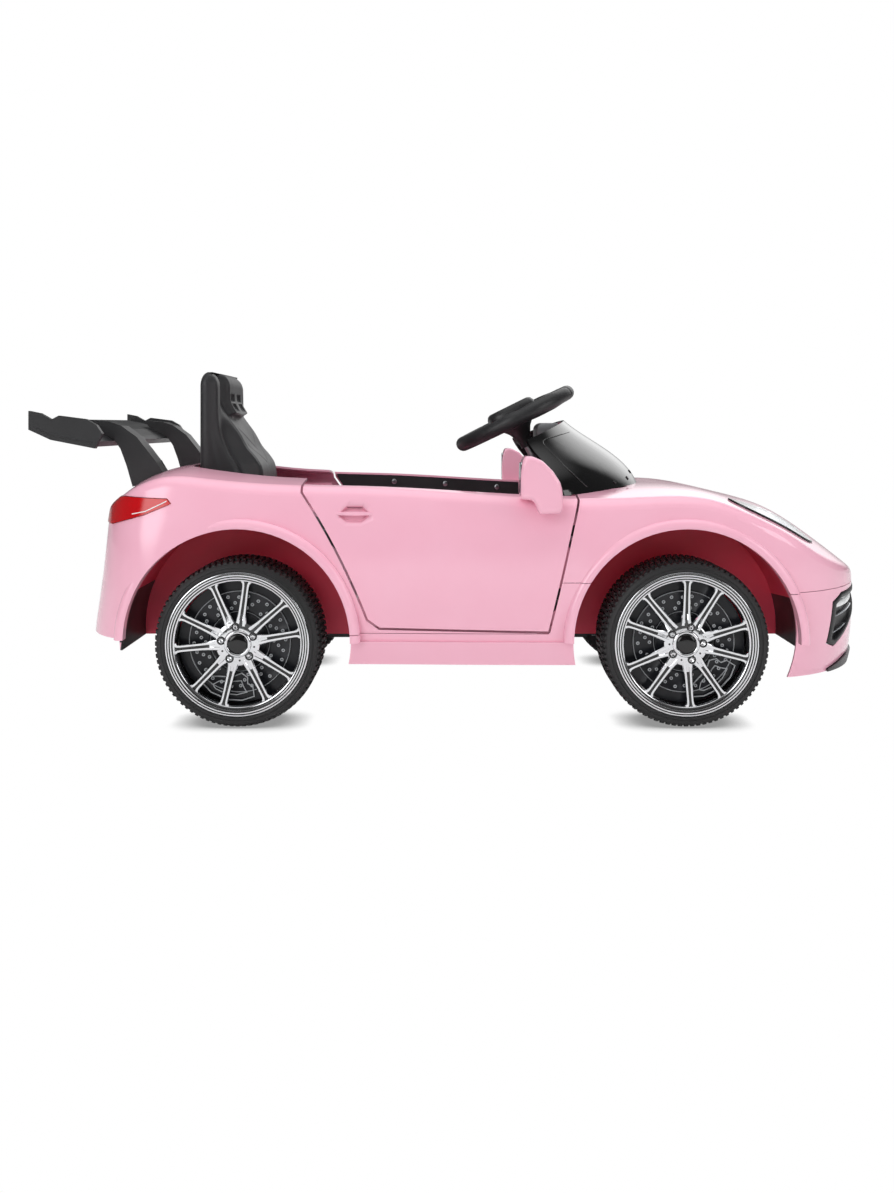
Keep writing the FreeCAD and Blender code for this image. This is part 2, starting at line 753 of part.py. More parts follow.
belowFloor = box("BelowFloor", "2 * overall_length", "2 * body_width", "tub_floor",
                 ("-overall_length", "-body_width", "0"))
doorSide = box("DoorSide", "door_rear_top + door_front_top + 2 * door_gap", "2 * body_width", "tub_top",
               ("-door_rear_top - door_gap", "-body_width", "tub_sill"))
doorKeep = box("DoorKeep", "4 * body_width", "2 * (tub_half_width - 2 * wall)", "2 * tub_top",
               ("-2 * body_width", "2 * wall - tub_half_width", "0"))
sideCut = cut("SideCut", doorSide, doorKeep)
axleStart = (rearText, "-body_width", "wheel_radius")
axleHole = cylinder("AxleHole", "axle_radius + wall", "2 * body_width", axleStart, alongY)
beamNotch = box("BeamNotch", "beam_depth + 2 * wall", "2 * body_width", "beam_height + wall",
                (frontText + "- beam_depth / 2 - wall", "-body_width", "wheel_radius - beam_height / 2"))

# Steering column line: the frame stands where the crank's ball meets the tie rod
lean = math.radians(size("column_angle"))
hub = Vector(size("steering_hub_x"), 0, size("steering_hub_z"))
columnTurn = Rotation(Vector(0, 1, 0), -size("column_angle"))
up = columnTurn.multVec(Vector(0, 0, 1))
crankRadius = size("steer_arm * sin(steer_angle) / sin(crank_angle)")
tieZ = size("wheel_radius - tie_rod_drop")
columnLength = (hub.z - tieZ - crankRadius * math.sin(lean)) / math.cos(lean)
foot = hub - up * columnLength
columnFrame = Placement(foot, columnTurn)
ballX = foot.x - crankRadius * math.cos(lean)


def onColumn(shape):
    shape.Placement = columnFrame
    return shape


columnRadius = size("column_radius")
bushRadius = columnRadius + 2 * wall
columnHole = feature("ColumnHole", onColumn(Part.makeCylinder(bushRadius, columnLength)))
tubFilled = fuse("TubFilled", tubBlank, *linerOuts)
tubRaw = cut("TubRaw", tubFilled, cavity, *linerIns, underSeat, belowFloor, sideCut, axleHole, beamNotch,
             columnHole)
insideBody = feature("InsideBody", bodyBlock(size("wall + clear_gap")))
tubTrimmed = doc.addObject("Part::MultiCommon", "TubTrimmed")
tubTrimmed.Shapes = [tubRaw, insideBody]

# Chassis: floor plate, two front rails and ears for the rear axle
plate = box("ChassisPlate", "tub_front + cockpit_rear", "2 * chassis_half_width", "chassis_thickness",
            ("-cockpit_rear", "-chassis_half_width", "tub_floor - chassis_thickness"))
rails = [box("Rail" + hand, "rail_front - tub_front", "rail_width", "chassis_thickness",
             ("tub_front", y, "tub_floor - chassis_thickness"))
         for hand, y in (("Right", "-rail_inner - rail_width"), ("Left", "rail_inner"))]
ears = [box("AxleEar" + hand, "5 * axle_radius", "2 * wall", "wheel_radius - tub_floor + 3 * axle_radius",
            (rearText + "- 2.5 * axle_radius", y, "tub_floor"))
        for hand, y in (("Right", "-chassis_half_width"), ("Left", "chassis_half_width - 2 * wall"))]
earBore = cylinder("EarBore", "axle_radius + fit_gap", "2 * body_width", axleStart, alongY)
node("chassis_frame", cut("ChassisFrame", fuse("ChassisBlank", plate, *rails, *ears), earBore))

# Rear axle and drive units
axleEnd = "track_width / 2 - spoke_set - cap_depth"
axleSpot = (rearText, "-(" + axleEnd + ")", "wheel_radius")
node("rear_axle", cylinder("RearAxle", "axle_radius", "2 * (" + axleEnd + ")", axleSpot, alongY))
driveWidth = "track_width / 2 - tyre_width - wheel_side_gap - liner_inner"
for hand, y in (("right", "wheel_side_gap + tyre_width - track_width / 2"), ("left", "liner_inner")):
    name = "Drive" + hand.title()
    caseSpot = (rearText, y, "wheel_radius")
    case = cylinder(name + "Case", "drive_radius", driveWidth, caseSpot, alongY)
    motorSpot = (rearText + "+ motor_radius", y + "+ (" + driveWidth + ") / 2",
                 "wheel_radius + 0.8 * motor_radius")
    motor = cylinder(name + "Motor", "motor_radius", "motor_length", motorSpot, alongX)
    shaftHole = cylinder(name + "Hole", "axle_radius + fit_gap", driveWidth, caseSpot, alongY)
    node("drive_unit_" + hand, cut(name, fuse(name + "Blank", case, motor), shaftHole))


# Wheels: local Y is the axle, the outer face looks towards -Y
face = "-tyre_width / 2"
for end, x in (("rear", rearText), ("front", frontText)):
    for hand, sign in (("right", "-"), ("left", "")):
        name = end.title() + hand.title()
        spot = (x, sign + "(track_width - tyre_width) / 2", "wheel_radius")
        turn = Rotation() if hand == "right" else Rotation(Vector(0, 0, 1), 180)
        tyre = newBody("Tyre" + name, spot, turn)
        revolve(tyre, "TyreRing" + name, [
            ("bead_radius", face + "+ rim_lip"), ("rim_radius + clear_gap", face + "+ rim_lip"),
            ("rim_radius + clear_gap", face), ("wheel_radius - tyre_shoulder", face),
            ("wheel_radius", face + "+ tyre_shoulder"), ("wheel_radius", "tyre_width / 2 - tyre_shoulder"),
            ("wheel_radius - tyre_shoulder", "tyre_width / 2"), ("bead_radius", "tyre_width / 2")])
        node("tyre_%s_%s" % (end, hand), tyre)

        rim = newBody("Rim" + name, spot, turn)
        barrel = "bead_radius - fit_gap"
        hubEnd = "track_width / 2 - kingpin_half_track - 2 * boss_radius - wheel_side_gap"
        revolve(rim, "RimBarrel" + name, [
            (barrel + "- barrel_wall", face), ("rim_radius", face), ("rim_radius", face + "+ rim_lip"),
            (barrel, face + "+ rim_lip"), (barrel, "tyre_width / 2"),
            (barrel + "- barrel_wall", "tyre_width / 2")])
        revolve(rim, "RimHub" + name, [
            ("axle_radius + fit_gap", face + "+ spoke_set"), ("hub_radius", face + "+ spoke_set"),
            ("hub_radius", face + "+ spoke_set + spoke_depth"), ("3 * axle_radius", face + "+ disc_set"),
            ("3 * axle_radius", face + "+" + hubEnd), ("axle_radius + fit_gap", face + "+" + hubEnd)])
        spokeIn, spokeOut = "hub_radius - barrel_wall", barrel + "- barrel_wall / 2"
        spoke = pad(rim, "Spoke" + name, "XZ_Plane", [
            ("-spoke_hub_width / 2", spokeIn), ("spoke_hub_width / 2", spokeIn),
            ("spoke_rim_width / 2", spokeOut), ("-spoke_rim_width / 2", spokeOut)],
            "spoke_depth", "tyre_width / 2 - spoke_set - spoke_depth")
        polar(rim, "Spokes" + name, spoke, "spoke_count")
        node("rim_%s_%s" % (end, hand), rim)

        disc = newBody("Disc" + name, spot, turn)
        discFace = face + "+ disc_set"
        revolve(disc, "DiscPlate" + name, [
            ("3 * axle_radius + fit_gap", discFace), ("brake_ring_inner", discFace),
            ("brake_ring_inner", discFace + "- wall"), ("brake_ring_outer", discFace + "- wall"),
            ("brake_ring_outer", discFace), (barrel + "- barrel_wall - fit_gap", discFace),
            (barrel + "- barrel_wall - fit_gap", discFace + "+ disc_wall"),
            ("3 * axle_radius + fit_gap", discFace + "+ disc_wall")])
        node("brake_disc_%s_%s" % (end, hand), disc)

        cap = newBody("Cap" + name, spot, turn)
        capFace = face + "+ spoke_set"
        revolve(cap, "CapPlate" + name, [
            ("0", capFace + "- cap_depth"), ("cap_radius - 1", capFace + "- cap_depth"),
            ("cap_radius", capFace + "- cap_depth + 1"), ("cap_radius", capFace + "- cap_depth / 2"),
            ("hub_radius - 1", capFace + "- cap_depth / 2"), ("hub_radius - 1", capFace),
            ("cap_radius", capFace), ("cap_radius", capFace + "- 1"), ("0", capFace + "- 1")])
        nutFar, nutNear = "lug_circle + lug_radius / 2", "lug_circle - lug_radius / 2"
        nutFlat = "lug_radius * cos(30)"
        lug = pad(cap, "Lug" + name, "XZ_Plane", [
            ("lug_circle + lug_radius", "0"), (nutFar, nutFlat), (nutNear, nutFlat),
            ("lug_circle - lug_radius", "0"), (nutNear, "-" + nutFlat), (nutFar, "-" + nutFlat)],
            "cap_depth - clear_gap", "tyre_width / 2 - spoke_set + clear_gap")
        polar(cap, "Lugs" + name, lug, "lug_count")
        node("hub_cap_%s_%s" % (end, hand), cap)

# Front axle beam with a round boss at each end for the kingpins
beam = box("BeamBar", "beam_depth", "2 * kingpin_half_track", "beam_height",
           (frontText + "- beam_depth / 2", "-kingpin_half_track", "wheel_radius - beam_height / 2"))
bosses, kingBores = [], []
for hand, sign in (("Right", "-"), ("Left", "")):
    spot = (frontText, sign + "kingpin_half_track", "wheel_radius - beam_height / 2")
    bosses.append(cylinder("Boss" + hand, "boss_radius", "beam_height", spot))
    kingBores.append(cylinder("KingBore" + hand, "kingpin_radius + fit_gap", "beam_height", spot))
node("front_axle_beam", cut("FrontBeam", fuse("BeamBlank", beam, *bosses), *kingBores))

# Steering knuckles: fork round the boss, kingpin, stub axle and arm with its pin
forkTop = "wheel_radius + beam_height / 2 + clear_gap"
forkLow = "wheel_radius - beam_height / 2 - clear_gap"
tieText = "wheel_radius - tie_rod_drop"
for hand, sign in (("right", -1), ("left", 1)):
    name = "Knuckle" + hand.title()
    inside = "kingpin_half_track - boss_radius"
    outside = "kingpin_half_track + 2 * boss_radius"
    lowY = "-(" + outside + ")" if sign < 0 else inside
    plateY = "-(" + outside + ")" if sign < 0 else outside + "- fork_back"
    pinY = "-kingpin_half_track" if sign < 0 else "kingpin_half_track"
    across = "3 * boss_radius"
    forkLength, forkBack = "2 * boss_radius - 2", frontText + "- boss_radius + 1"
    forkHeight, forkBase = "beam_height + 2 * clear_gap + 2 * fork_thickness", forkLow + "- fork_thickness"
    lugTop = box(name + "LugTop", forkLength, across, "fork_thickness", (forkBack, lowY, forkTop))
    lugLow = box(name + "LugLow", forkLength, across, "fork_thickness", (forkBack, lowY, forkBase))
    back = box(name + "Back", forkLength, "fork_back", forkHeight, (forkBack, plateY, forkBase))
    pin = cylinder(name + "Pin", "kingpin_radius", forkHeight, (frontText, pinY, forkBase))
    stubStart = "-(" + axleEnd + ")" if sign < 0 else outside + "- 1"
    stubLength = axleEnd + "- (" + outside + ") + 1"
    stub = cylinder(name + "Stub", "axle_radius", stubLength, (frontText, stubStart, "wheel_radius"), alongY)
    armSpot = (frontText + "- steer_arm - 2 * tie_pin_radius", pinY + "- 2 * tie_pin_radius", forkBase)
    arm = box(name + "Arm", "steer_arm + 2 * tie_pin_radius", "4 * tie_pin_radius", "fork_thickness", armSpot)
    tiePin = cylinder(name + "TiePin", "tie_pin_radius", forkBase + "- (" + tieText + ") + tie_rod_thickness",
                      (frontText + "- steer_arm", pinY, tieText + "- tie_rod_thickness"))
    node("steering_knuckle_" + hand, fuse(name, lugTop, lugLow, back, pin, stub, arm, tiePin))

# Tie rod: flat bar with a tongue for the crank's ball; its slots leave room for the swing of the pins
pinSwing = "steer_arm * (1 - cos(steer_angle))"
slotWidth = "2 * (tie_pin_radius + tie_pin_gap)"
barSpot = (frontText + "- steer_arm - tie_rod_width / 2", "-kingpin_half_track - tie_rod_width / 2",
           tieText + "- tie_rod_thickness / 2")
bar = box("TieBar", "tie_rod_width", "2 * kingpin_half_track + tie_rod_width", "tie_rod_thickness", barSpot)
slots = [box("PinSlot" + hand, slotWidth + "+" + pinSwing, slotWidth, "2 * tie_rod_thickness",
             (frontText + "- steer_arm - tie_pin_radius - tie_pin_gap", y + "- tie_pin_radius - tie_pin_gap",
              tieText + "- tie_rod_thickness"))
         for hand, y in (("Right", "-kingpin_half_track"), ("Left", "kingpin_half_track"))]
ballRadius, ballGap = size("crank_ball_radius"), size("crank_ball_gap")
ballSwing = crankRadius * (1 - math.cos(math.radians(size("crank_angle")))) * math.cos(lean)
slotHalf = ballRadius + ballGap
tieBarX = frontX - size("steer_arm")
tieThick = size("tie_rod_thickness")
tongue = block(ballX - 4 * ballRadius, tieBarX, -3 * ballRadius, 3 * ballRadius,
               tieZ - tieThick / 2, tieZ + tieThick / 2)
ballSlot = block(ballX - slotHalf - 2, ballX + ballSwing + slotHalf + 2, -slotHalf, slotHalf,
                 tieZ - tieThick, tieZ + tieThick)
tieBlank = fuse("TieBlank", bar, feature("TieTongue", tongue))
node("tie_rod", cut("TieRod", tieBlank, *slots, feature("BallSlot", ballSlot)))

# Steering column: rod, crank plate, ball on a stem
crankThick = size("crank_thickness")
stemLength = 2 * ballRadius
rod = Part.makeCylinder(columnRadius, columnLength - stemLength, Vector(0, 0, stemLength))
crank = block(-crankRadius - 1.5 * ballRadius, columnRadius + 2, -1.8 * ballRadius, 1.8 * ballRadius,
              stemLength, stemLength + crankThick)
stem = Part.makeCylinder(0.7 * ballRadius, stemLength + 1, Vector(-crankRadius, 0, 0))
ball = Part.makeSphere(ballRadius, Vector(-crankRadius, 0, 0))
node("steering_column", feature("SteeringColumn", rod.fuse([crank, stem, ball]), columnFrame))

# Bushes that carry the column in the dash and in the front wall of the tub
dashX = size("tub_front - 34")
bushLength = 8 * wall


def bushAt(x):
    middle = (x - hub.x) / math.sin(lean)
    start = columnLength - middle - bushLength / 2
    ring = Part.makeCylinder(bushRadius, bushLength, Vector(0, 0, start))
    bore = Part.makeCylinder(columnRadius + size("fit_gap"), bushLength, Vector(0, 0, start))
    return ring.cut(bore)


bushes = Part.makeCompound([bushAt(dashX + wall), bushAt(size("tub_front - wall / 2"))])
node("column_bushes", feature("ColumnBushes", bushes, columnFrame))

# Steering wheel: round grip with a short flat towards the driver, three spokes and a hub;
# local X points forward in the wheel's plane
wheelFrame = Placement(hub, columnTurn)
gripRadius, wheelRadius = size("grip_radius"), size("steering_wheel_radius")
flat, corner = size("steering_flat"), size("steering_corner")
cornerX = -(flat - corner)
cornerY = math.sqrt((wheelRadius - corner) ** 2 - cornerX ** 2)
cornerAngle = math.atan2(cornerY, cornerX)
tangent = Vector(wheelRadius * math.cos(cornerAngle), wheelRadius * math.sin(cornerAngle), 0)
bisect = (cornerAngle + math.pi) / 2
cornerMid = Vector(cornerX + corner * math.cos(bisect), cornerY + corner * math.sin(bisect), 0)
flatEnd = Vector(-flat, cornerY, 0)


def swapped(v):
    return Vector(v.x, -v.y, 0)


gripPath = Part.Wire([
    Part.Arc(swapped(tangent), Vector(wheelRadius, 0, 0), tangent).toShape(),
    Part.Arc(tangent, cornerMid, flatEnd).toShape(),
    Part.makeLine(flatEnd, swapped(flatEnd)),
    Part.Arc(swapped(flatEnd), swapped(cornerMid), swapped(tangent)).toShape()])
gripWay = Vector(math.sin(cornerAngle), math.cos(cornerAngle), 0)
gripSection = Part.Wire([Part.makeCircle(gripRadius, swapped(tangent), gripWay)])
grip = gripPath.makePipeShell([gripSection], True, True)
hubRadius, hubDepth = size("steering_hub_radius"), size("steering_hub_depth")
hubPlate = Part.makeCylinder(hubRadius, hubDepth / 2, Vector(0, 0, -hubDepth))
spokeHalf = size("steering_spoke / 2")
spokes = [block(-spokeHalf, spokeHalf, hubRadius / 2, wheelRadius, -hubDepth, -hubDepth / 2),
          block(-spokeHalf, spokeHalf, -wheelRadius, -hubRadius / 2, -hubDepth, -hubDepth / 2),
          block(-flat, -hubRadius / 2, -spokeHalf, spokeHalf, -hubDepth, -hubDepth / 2)]
lowered = Placement(Vector(0, 0, -hubDepth / 2), Rotation())
grip.Placement = lowered
socket = Part.makeCylinder(columnRadius + 4, hubDepth, Vector(0, 0, -2 * hubDepth))
columnSpace = Part.makeCylinder(columnRadius, 3 * hubDepth, Vector(0, 0, -3 * hubDepth))
steeringWheel = grip.fuse([hubPlate, socket] + spokes).cut(columnSpace)
node("steering_wheel", feature("SteeringWheel", steeringWheel, wheelFrame))

# Hub pad with a well for each sprung button
hornRadius, hornTravel = size("horn_radius"), size("horn_travel")
padTop = 2
padBlock = Part.makeCylinder(hubRadius + 6, hubDepth / 2 + padTop, Vector(0, 0, -hubDepth / 2))
padBlock = padBlock.common(block(-hubRadius, hubRadius, -2 * hubRadius, 2 * hubRadius, -hubDepth, hubDepth))
padBlock = padBlock.makeFillet(3, [edge for edge in padBlock.Edges if edge.BoundBox.ZMin > 0])
buttonY = hubRadius * 0.6
wellFloor = -hubDepth / 2 + 2
wells = [Part.makeCylinder(hornRadius + clearGap, hubDepth, Vector(0, y, wellFloor))
         for y in (-buttonY, buttonY)]
node("hub_pad", feature("HubPad", padBlock.cut(wells).cut(columnSpace), wheelFrame))
buttonBase = wellFloor + hornTravel + clearGap
for label, y in (("horn_button", buttonY), ("music_button", -buttonY)):
    button = Part.makeCylinder(hornRadius, padTop + 2.5 - buttonBase, Vector(0, y, buttonBase))
    button = button.makeFillet(1, [edge for edge in button.Edges if edge.BoundBox.ZMin > 0])
    node(label, feature(label.title().replace("_", ""), button, wheelFrame))


# Windscreen cowl: a curved shield from the hood up to the top edge in front of the steering wheel
def cowlRow(sideX, half, sideZ, middleX, middleZ):
    middle = Vector(middleX, 0, middleZ)
    return Part.Wire([Part.Arc(Vector(sideX, -half, sideZ), middle, Vector(sideX, half, sideZ)).toShape()])


cowlBase, cowlTop = size("cowl_base"), size("cowl_top")
cowlSide, cowlSideTop = size("cowl_half_width"), size("cowl_top_half_width")
cowlFront, cowlFrontTop = size("cowl_front"), size("cowl_top_front")
cowlRear, cowlRearTop = size("cowl_side_rear"), size("cowl_top_rear")
bulge = 5
cowlRows = [
    cowlRow(cowlRear + 4, cowlSide + 2, cowlBase - 20, cowlFront + 4, cowlBase - 20),
    cowlRow(cowlRear, cowlSide, cowlBase - 4, cowlFront, cowlBase),
    cowlRow((cowlRear + cowlRearTop) / 2, (cowlSide + cowlSideTop) / 2 + 1, (cowlBase + cowlTop) / 2 - 13,
            (cowlFront + cowlFrontTop) / 2 + bulge, (cowlBase + cowlTop) / 2 + bulge),
    cowlRow(cowlRearTop, cowlSideTop, cowlTop - 27, cowlFrontTop, cowlTop)]
shield = Part.makeLoft(cowlRows, False, False)
cowl = shield.makeOffsetShape(-size("cowl_wall"), 0.01, fill=True)
cowl = cowl.cut(outer)
node("windscreen_cowl", feature("WindscreenCowl", max(cowl.Solids, key=lambda solid: solid.Volume)))

# Dash panel under the cowl, resting on the front wall of the tub
dashThick, dashHalf, dashLow = size("dash_thickness"), size("dash_half_width"), size("tub_top - 48")
dashTop = cowlTop - 38
dashRight = [(dashHalf, dashLow), (dashHalf, cowlBase + 8), (dashHalf - 26, dashTop - 22), (40, dashTop)]
dashOutline = dashRight + [(-y, z) for y, z in reversed(dashRight)]
dashPlate = prism(dashOutline, "x", dashX, dashThick)
shelf = block(dashX, size("tub_front"), -dashHalf, dashHalf, size("tub_top"), size("tub_top + 4"))
startRadius, switchWide, switchHigh = size("start_button_radius"), size("switch_width"), size("switch_height")
controlZ = size("tub_top + 28")
startY, switchY, socketY = -70, 70, 112
trunnion, trunnionX = size("trunnion_radius"), dashX + dashThick / 2
trunnionStart = Vector(trunnionX, switchY - switchWide / 2 - wall, controlZ)


def throughDash(radius, y):
    return Part.makeCylinder(radius, 3 * dashThick, Vector(dashX - dashThick, y, controlZ), Vector(1, 0, 0))


def ofDash(radius, start, length, y):
    return Part.makeCylinder(radius, length, Vector(dashX + start, y, controlZ), Vector(1, 0, 0))


startHole = throughDash(startRadius + clearGap, startY)
switchHole = block(dashX - 1, dashX + 2 * dashThick, switchY - switchWide / 2 - clearGap,
                   switchY + switchWide / 2 + clearGap, controlZ - switchHigh / 2 - 3 * clearGap,
                   controlZ + switchHigh / 2 + 3 * clearGap)
trunnionHole = Part.makeCylinder(trunnion + size("fit_gap"), switchWide + 2 * wall, trunnionStart,
                                 Vector(0, 1, 0))
socketHole = throughDash(size("socket_radius") + wall, socketY)
bushHole = Part.makeCylinder(bushRadius, columnLength)
bushHole.Placement = columnFrame
dash = dashPlate.fuse(shelf).cut([startHole, switchHole, trunnionHole, socketHole, bushHole])
node("dash_panel", feature("DashPanel", dash))

binnacle = block(dashX - 30, dashX, -42, 42, dashTop - 4, dashTop + 34)
rounded = [edge for edge in binnacle.Edges if edge.BoundBox.XMin < dashX - 1 and edge.BoundBox.ZMin > dashTop]
node("binnacle", feature("Binnacle", binnacle.makeFillet(10, rounded)))

# Controls on the dash: sprung start button, rocker switch, charging socket
startButton = ofDash(startRadius, -4, dashThick + 4, startY)
startButton = startButton.makeFillet(1.5, [edge for edge in startButton.Edges if edge.BoundBox.XMax < dashX])
node("start_button", feature("StartButton", startButton))
rockerProfile = [(dashThick - 1, wall - switchHigh / 2), (dashThick - 1, switchHigh / 2 - wall),
                 (-wall, switchHigh / 2), (-1, 0), (-wall, -switchHigh / 2)]
rockerPoints = [(dashX + x, controlZ + z) for x, z in rockerProfile]
rocker = prism(rockerPoints, "y", switchY - switchWide / 2, switchWide)
pinLength = switchWide + 2 * (wall - clearGap)
axlePin = Part.makeCylinder(trunnion, pinLength, trunnionStart + Vector(0, clearGap, 0),
                            Vector(0, 1, 0))
rocker = rocker.fuse(axlePin)
node("direction_switch", feature("DirectionSwitch", rocker))
socketRadius = size("socket_radius")
socketBody = ofDash(socketRadius + wall, 0, dashThick + 10, socketY)
socketFlange = ofDash(socketRadius + 2 * wall, -2, 2, socketY)
socketBore = ofDash(socketRadius, -2, dashThick + 8, socketY)
node("charging_socket", feature("ChargingSocket", socketBody.fuse(socketFlange).cut(socketBore)))

# Accelerator pedal, hinged at its lower edge in a bracket on the floor of the tub
pedalPin, pedalWide, pedalLong = size("pedal_pin_radius"), size("pedal_width"), size("pedal_length")
pedalSpot = Vector(size("tub_front - wall - 58"), -size("pedal_across"),
                   size("tub_floor + wall + 3 * pedal_pin_radius"))
pedalFrame = Placement(pedalSpot, Rotation(Vector(0, 1, 0), -size("pedal_angle")))
pedal = block(0, pedalLong, -pedalWide / 2, pedalWide / 2, -pedalPin, pedalPin)
pedalEnd = [edge for edge in pedal.Edges if edge.BoundBox.XMin > pedalLong - 1 and edge.BoundBox.ZLength > 1]
pedal = pedal.makeFillet(4, pedalEnd)
earWide = 6
pedal = pedal.fuse(cylinderAcross(pedalPin, 0, 0, -pedalWide / 2 - earWide, pedalWide + 2 * earWide))
node("accelerator_pedal", feature("AcceleratorPedal", pedal, pedalFrame))
bracketLow = -pedalFrame.Base.z + size("tub_floor") + wall
earInside = pedalWide / 2 + 1
earOutside = earInside + earWide
bracket = block(-12, 12, -earOutside, earOutside, bracketLow, bracketLow + 2)
for y in (-earOutside, earInside):
    bracket = bracket.fuse(block(-8, 8, y, y + earWide, bracketLow, 2 * pedalPin))
bracket = bracket.cut(cylinderAcross(pedalPin + size("fit_gap"), 0, 0, -pedalWide, 2 * pedalWide))
pedalBracket = feature("PedalBracket", bracket, Placement(pedalFrame.Base, Rotation()))
node("tub", fuse("Tub", tubTrimmed, pedalBracket))

# Seat: side profiles for the middle, the ridges of the bolsters and their outer edges
seatRear = -size("cockpit_rear") + 3 * wall
seatFloor = size("tub_floor + seat_box_height")
seatTop, cushionTop = size("seat_top"), size("tub_floor + seat_box_height + seat_cushion")
seatFront = -size("seat_box_front")
seatHalf, seatBaseHalf = size("seat_half_width"), size("seat_base_half_width")
bolsterLow = seatFloor + size("bolster_low")
backHalf = 0.6 * seatHalf
middle = [(0, seatFloor), (0, seatTop - 10), (8, seatTop - 2), (24, seatTop), (38, seatTop - 8),
          (40, seatTop - 36), (52, seatTop - 84), (64, seatTop - 122), (74, seatTop - 150),
          (80, cushionTop + 16), (95, cushionTop)]
ridge = [(0, bolsterLow), (0, seatTop - 10), (8, seatTop - 2), (22, seatTop - 4), (31, seatTop - 40),
         (44, seatTop - 92), (60, seatTop - 125), (78, seatTop - 150), (92, seatTop - 180), (92, bolsterLow)]
cushion = [(seatFront - 10, cushionTop + 6), (seatFront, cushionTop - 4), (seatFront, seatFloor)]
seatBack = prism([(seatRear + x, z) for x, z in middle] + cushion, "y", -backHalf, 2 * backHalf)
bolster = prism([(seatRear + x, z) for x, z in ridge], "y", backHalf, seatHalf - backHalf)
bolster = bolster.makeChamfer(5, [edge for edge in bolster.Edges if edge.BoundBox.YMin > seatHalf - 1])
sidePoints = [(seatRear, seatFloor), (seatRear, bolsterLow), (seatRear + 92, bolsterLow),
              (seatFront - 30, cushionTop + 18), (seatFront, cushionTop), (seatFront, seatFloor)]
side = prism(sidePoints, "y", backHalf, seatBaseHalf - backHalf)
half = bolster.fuse(side)
seat = seatBack.fuse([half, mirrored(half)])
node("seat", feature("Seat", seat))

# Rear wing: end plates with their tails turned up, a lower blade between them
wingTail = -size("overall_length / 2")
wingTop, chord, span = size("wing_top"), size("wing_chord"), size("wing_span")
wingPoints = [(0, 0), (0.16 * chord, -3), (0.31 * chord, -11), (0.41 * chord, -6), (0.78 * chord, -10.5),
              (0.92 * chord, -18), (chord, -29), (0.9 * chord, -48), (0.3 * chord, -37), (0, -24)]
plateThick = 3 * wall
bladePoints = [(5, -10), (0.41 * chord, -17), (0.66 * chord, -24), (0.87 * chord, -34), (0.95 * chord, -39),
               (0.89 * chord, -46), (0.3 * chord, -35), (5, -22)]


def wingPiece(points, start, length):
    return prism([(wingTail + x, wingTop + z) for x, z in points], "y", start, length)


endPlate = wingPiece(wingPoints, -span / 2, plateThick)
blade = wingPiece(bladePoints, plateThick / 2 - span / 2, span - plateThick)
wing = blade.fuse([endPlate, mirrored(endPlate)])
node("rear_wing", feature("RearWing", wing))

# Wing struts: curved blades from the wing's lower face down to the rear deck
strutUpper = [(53, -11), (83, -13.5), (99, -19), (119.5, -34), (133, -51), (146, -68), (156, -84)]
strutLower = [(114, -100), (106, -72), (98, -50), (90, -38), (67, -30)]
strut = prism([(wingTail + x, wingTop + z) for x, z in strutUpper + strutLower], "y",
              -size("strut_across + strut_width / 2"), size("strut_width"))
strut = strut.cut([wing, outer])
strut = max(strut.Solids, key=lambda solid: solid.Volume)
node("wing_struts", feature("WingStruts", both(strut)))

# Battery under the seat, control box on the front rails
batterySpot = ("-seat_box_front - battery_length - 5 * wall", "-battery_width / 2", "tub_floor")
node("battery", box("Battery", "battery_length", "battery_width", "battery_height", batterySpot))
controlSpot = ("rail_front - control_length - 10 * wall", "rail_inner + rail_width - control_width",
               "tub_floor")
node("control_box", box("ControlBox", "control_length", "control_width", "control_height", controlSpot))

# Screws that hold the front beam on its rails and close the drive units
screws = []
headRadius, headHeight = size("screw_head_radius"), size("screw_head_height")
for y in (-1, 1):
    for x in (-0.25, 0.25):
        spot = Vector(frontX + x * size("beam_depth"), y * size("rail_inner + rail_width / 2"),
                      size("wheel_radius + beam_height / 2"))
        screws.append(Part.makeCylinder(headRadius / 2, headHeight, spot))
    for angle in (30, 90, 150, 270):
        radius = 0.8 * size("drive_radius")
        spot = Vector(rearX + radius * math.cos(math.radians(angle)),
                      y * size("track_width / 2 - tyre_width - wheel_side_gap"),
                      axleZ + radius * math.sin(math.radians(angle)))
        screws.append(Part.makeCylinder(headRadius, headHeight, spot, Vector(0, y, 0)))
node("chassis_screws", feature("ChassisScrews", Part.makeCompound(screws)))

doc.recompute()
for obj in doc.Objects:
    if "Invalid" in obj.State or "Error" in obj.State:
        raise RuntimeError("%s failed: %s" % (obj.Label, obj.State))
for obj in nodes:
    if obj.Shape.isNull() or not obj.Shape.isValid():
        raise RuntimeError("%s has no valid shape" % obj.Label)

os.makedirs("parts", exist_ok=True)
for obj in nodes:
    obj.Shape.exportStep(os.path.join("parts", obj.Label + ".step"))
print("%d pieces written" % len(nodes))
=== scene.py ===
import bpy
import bmesh
import math
from mathutils import Matrix, Vector
from mathutils.bvhtree import BVHTree


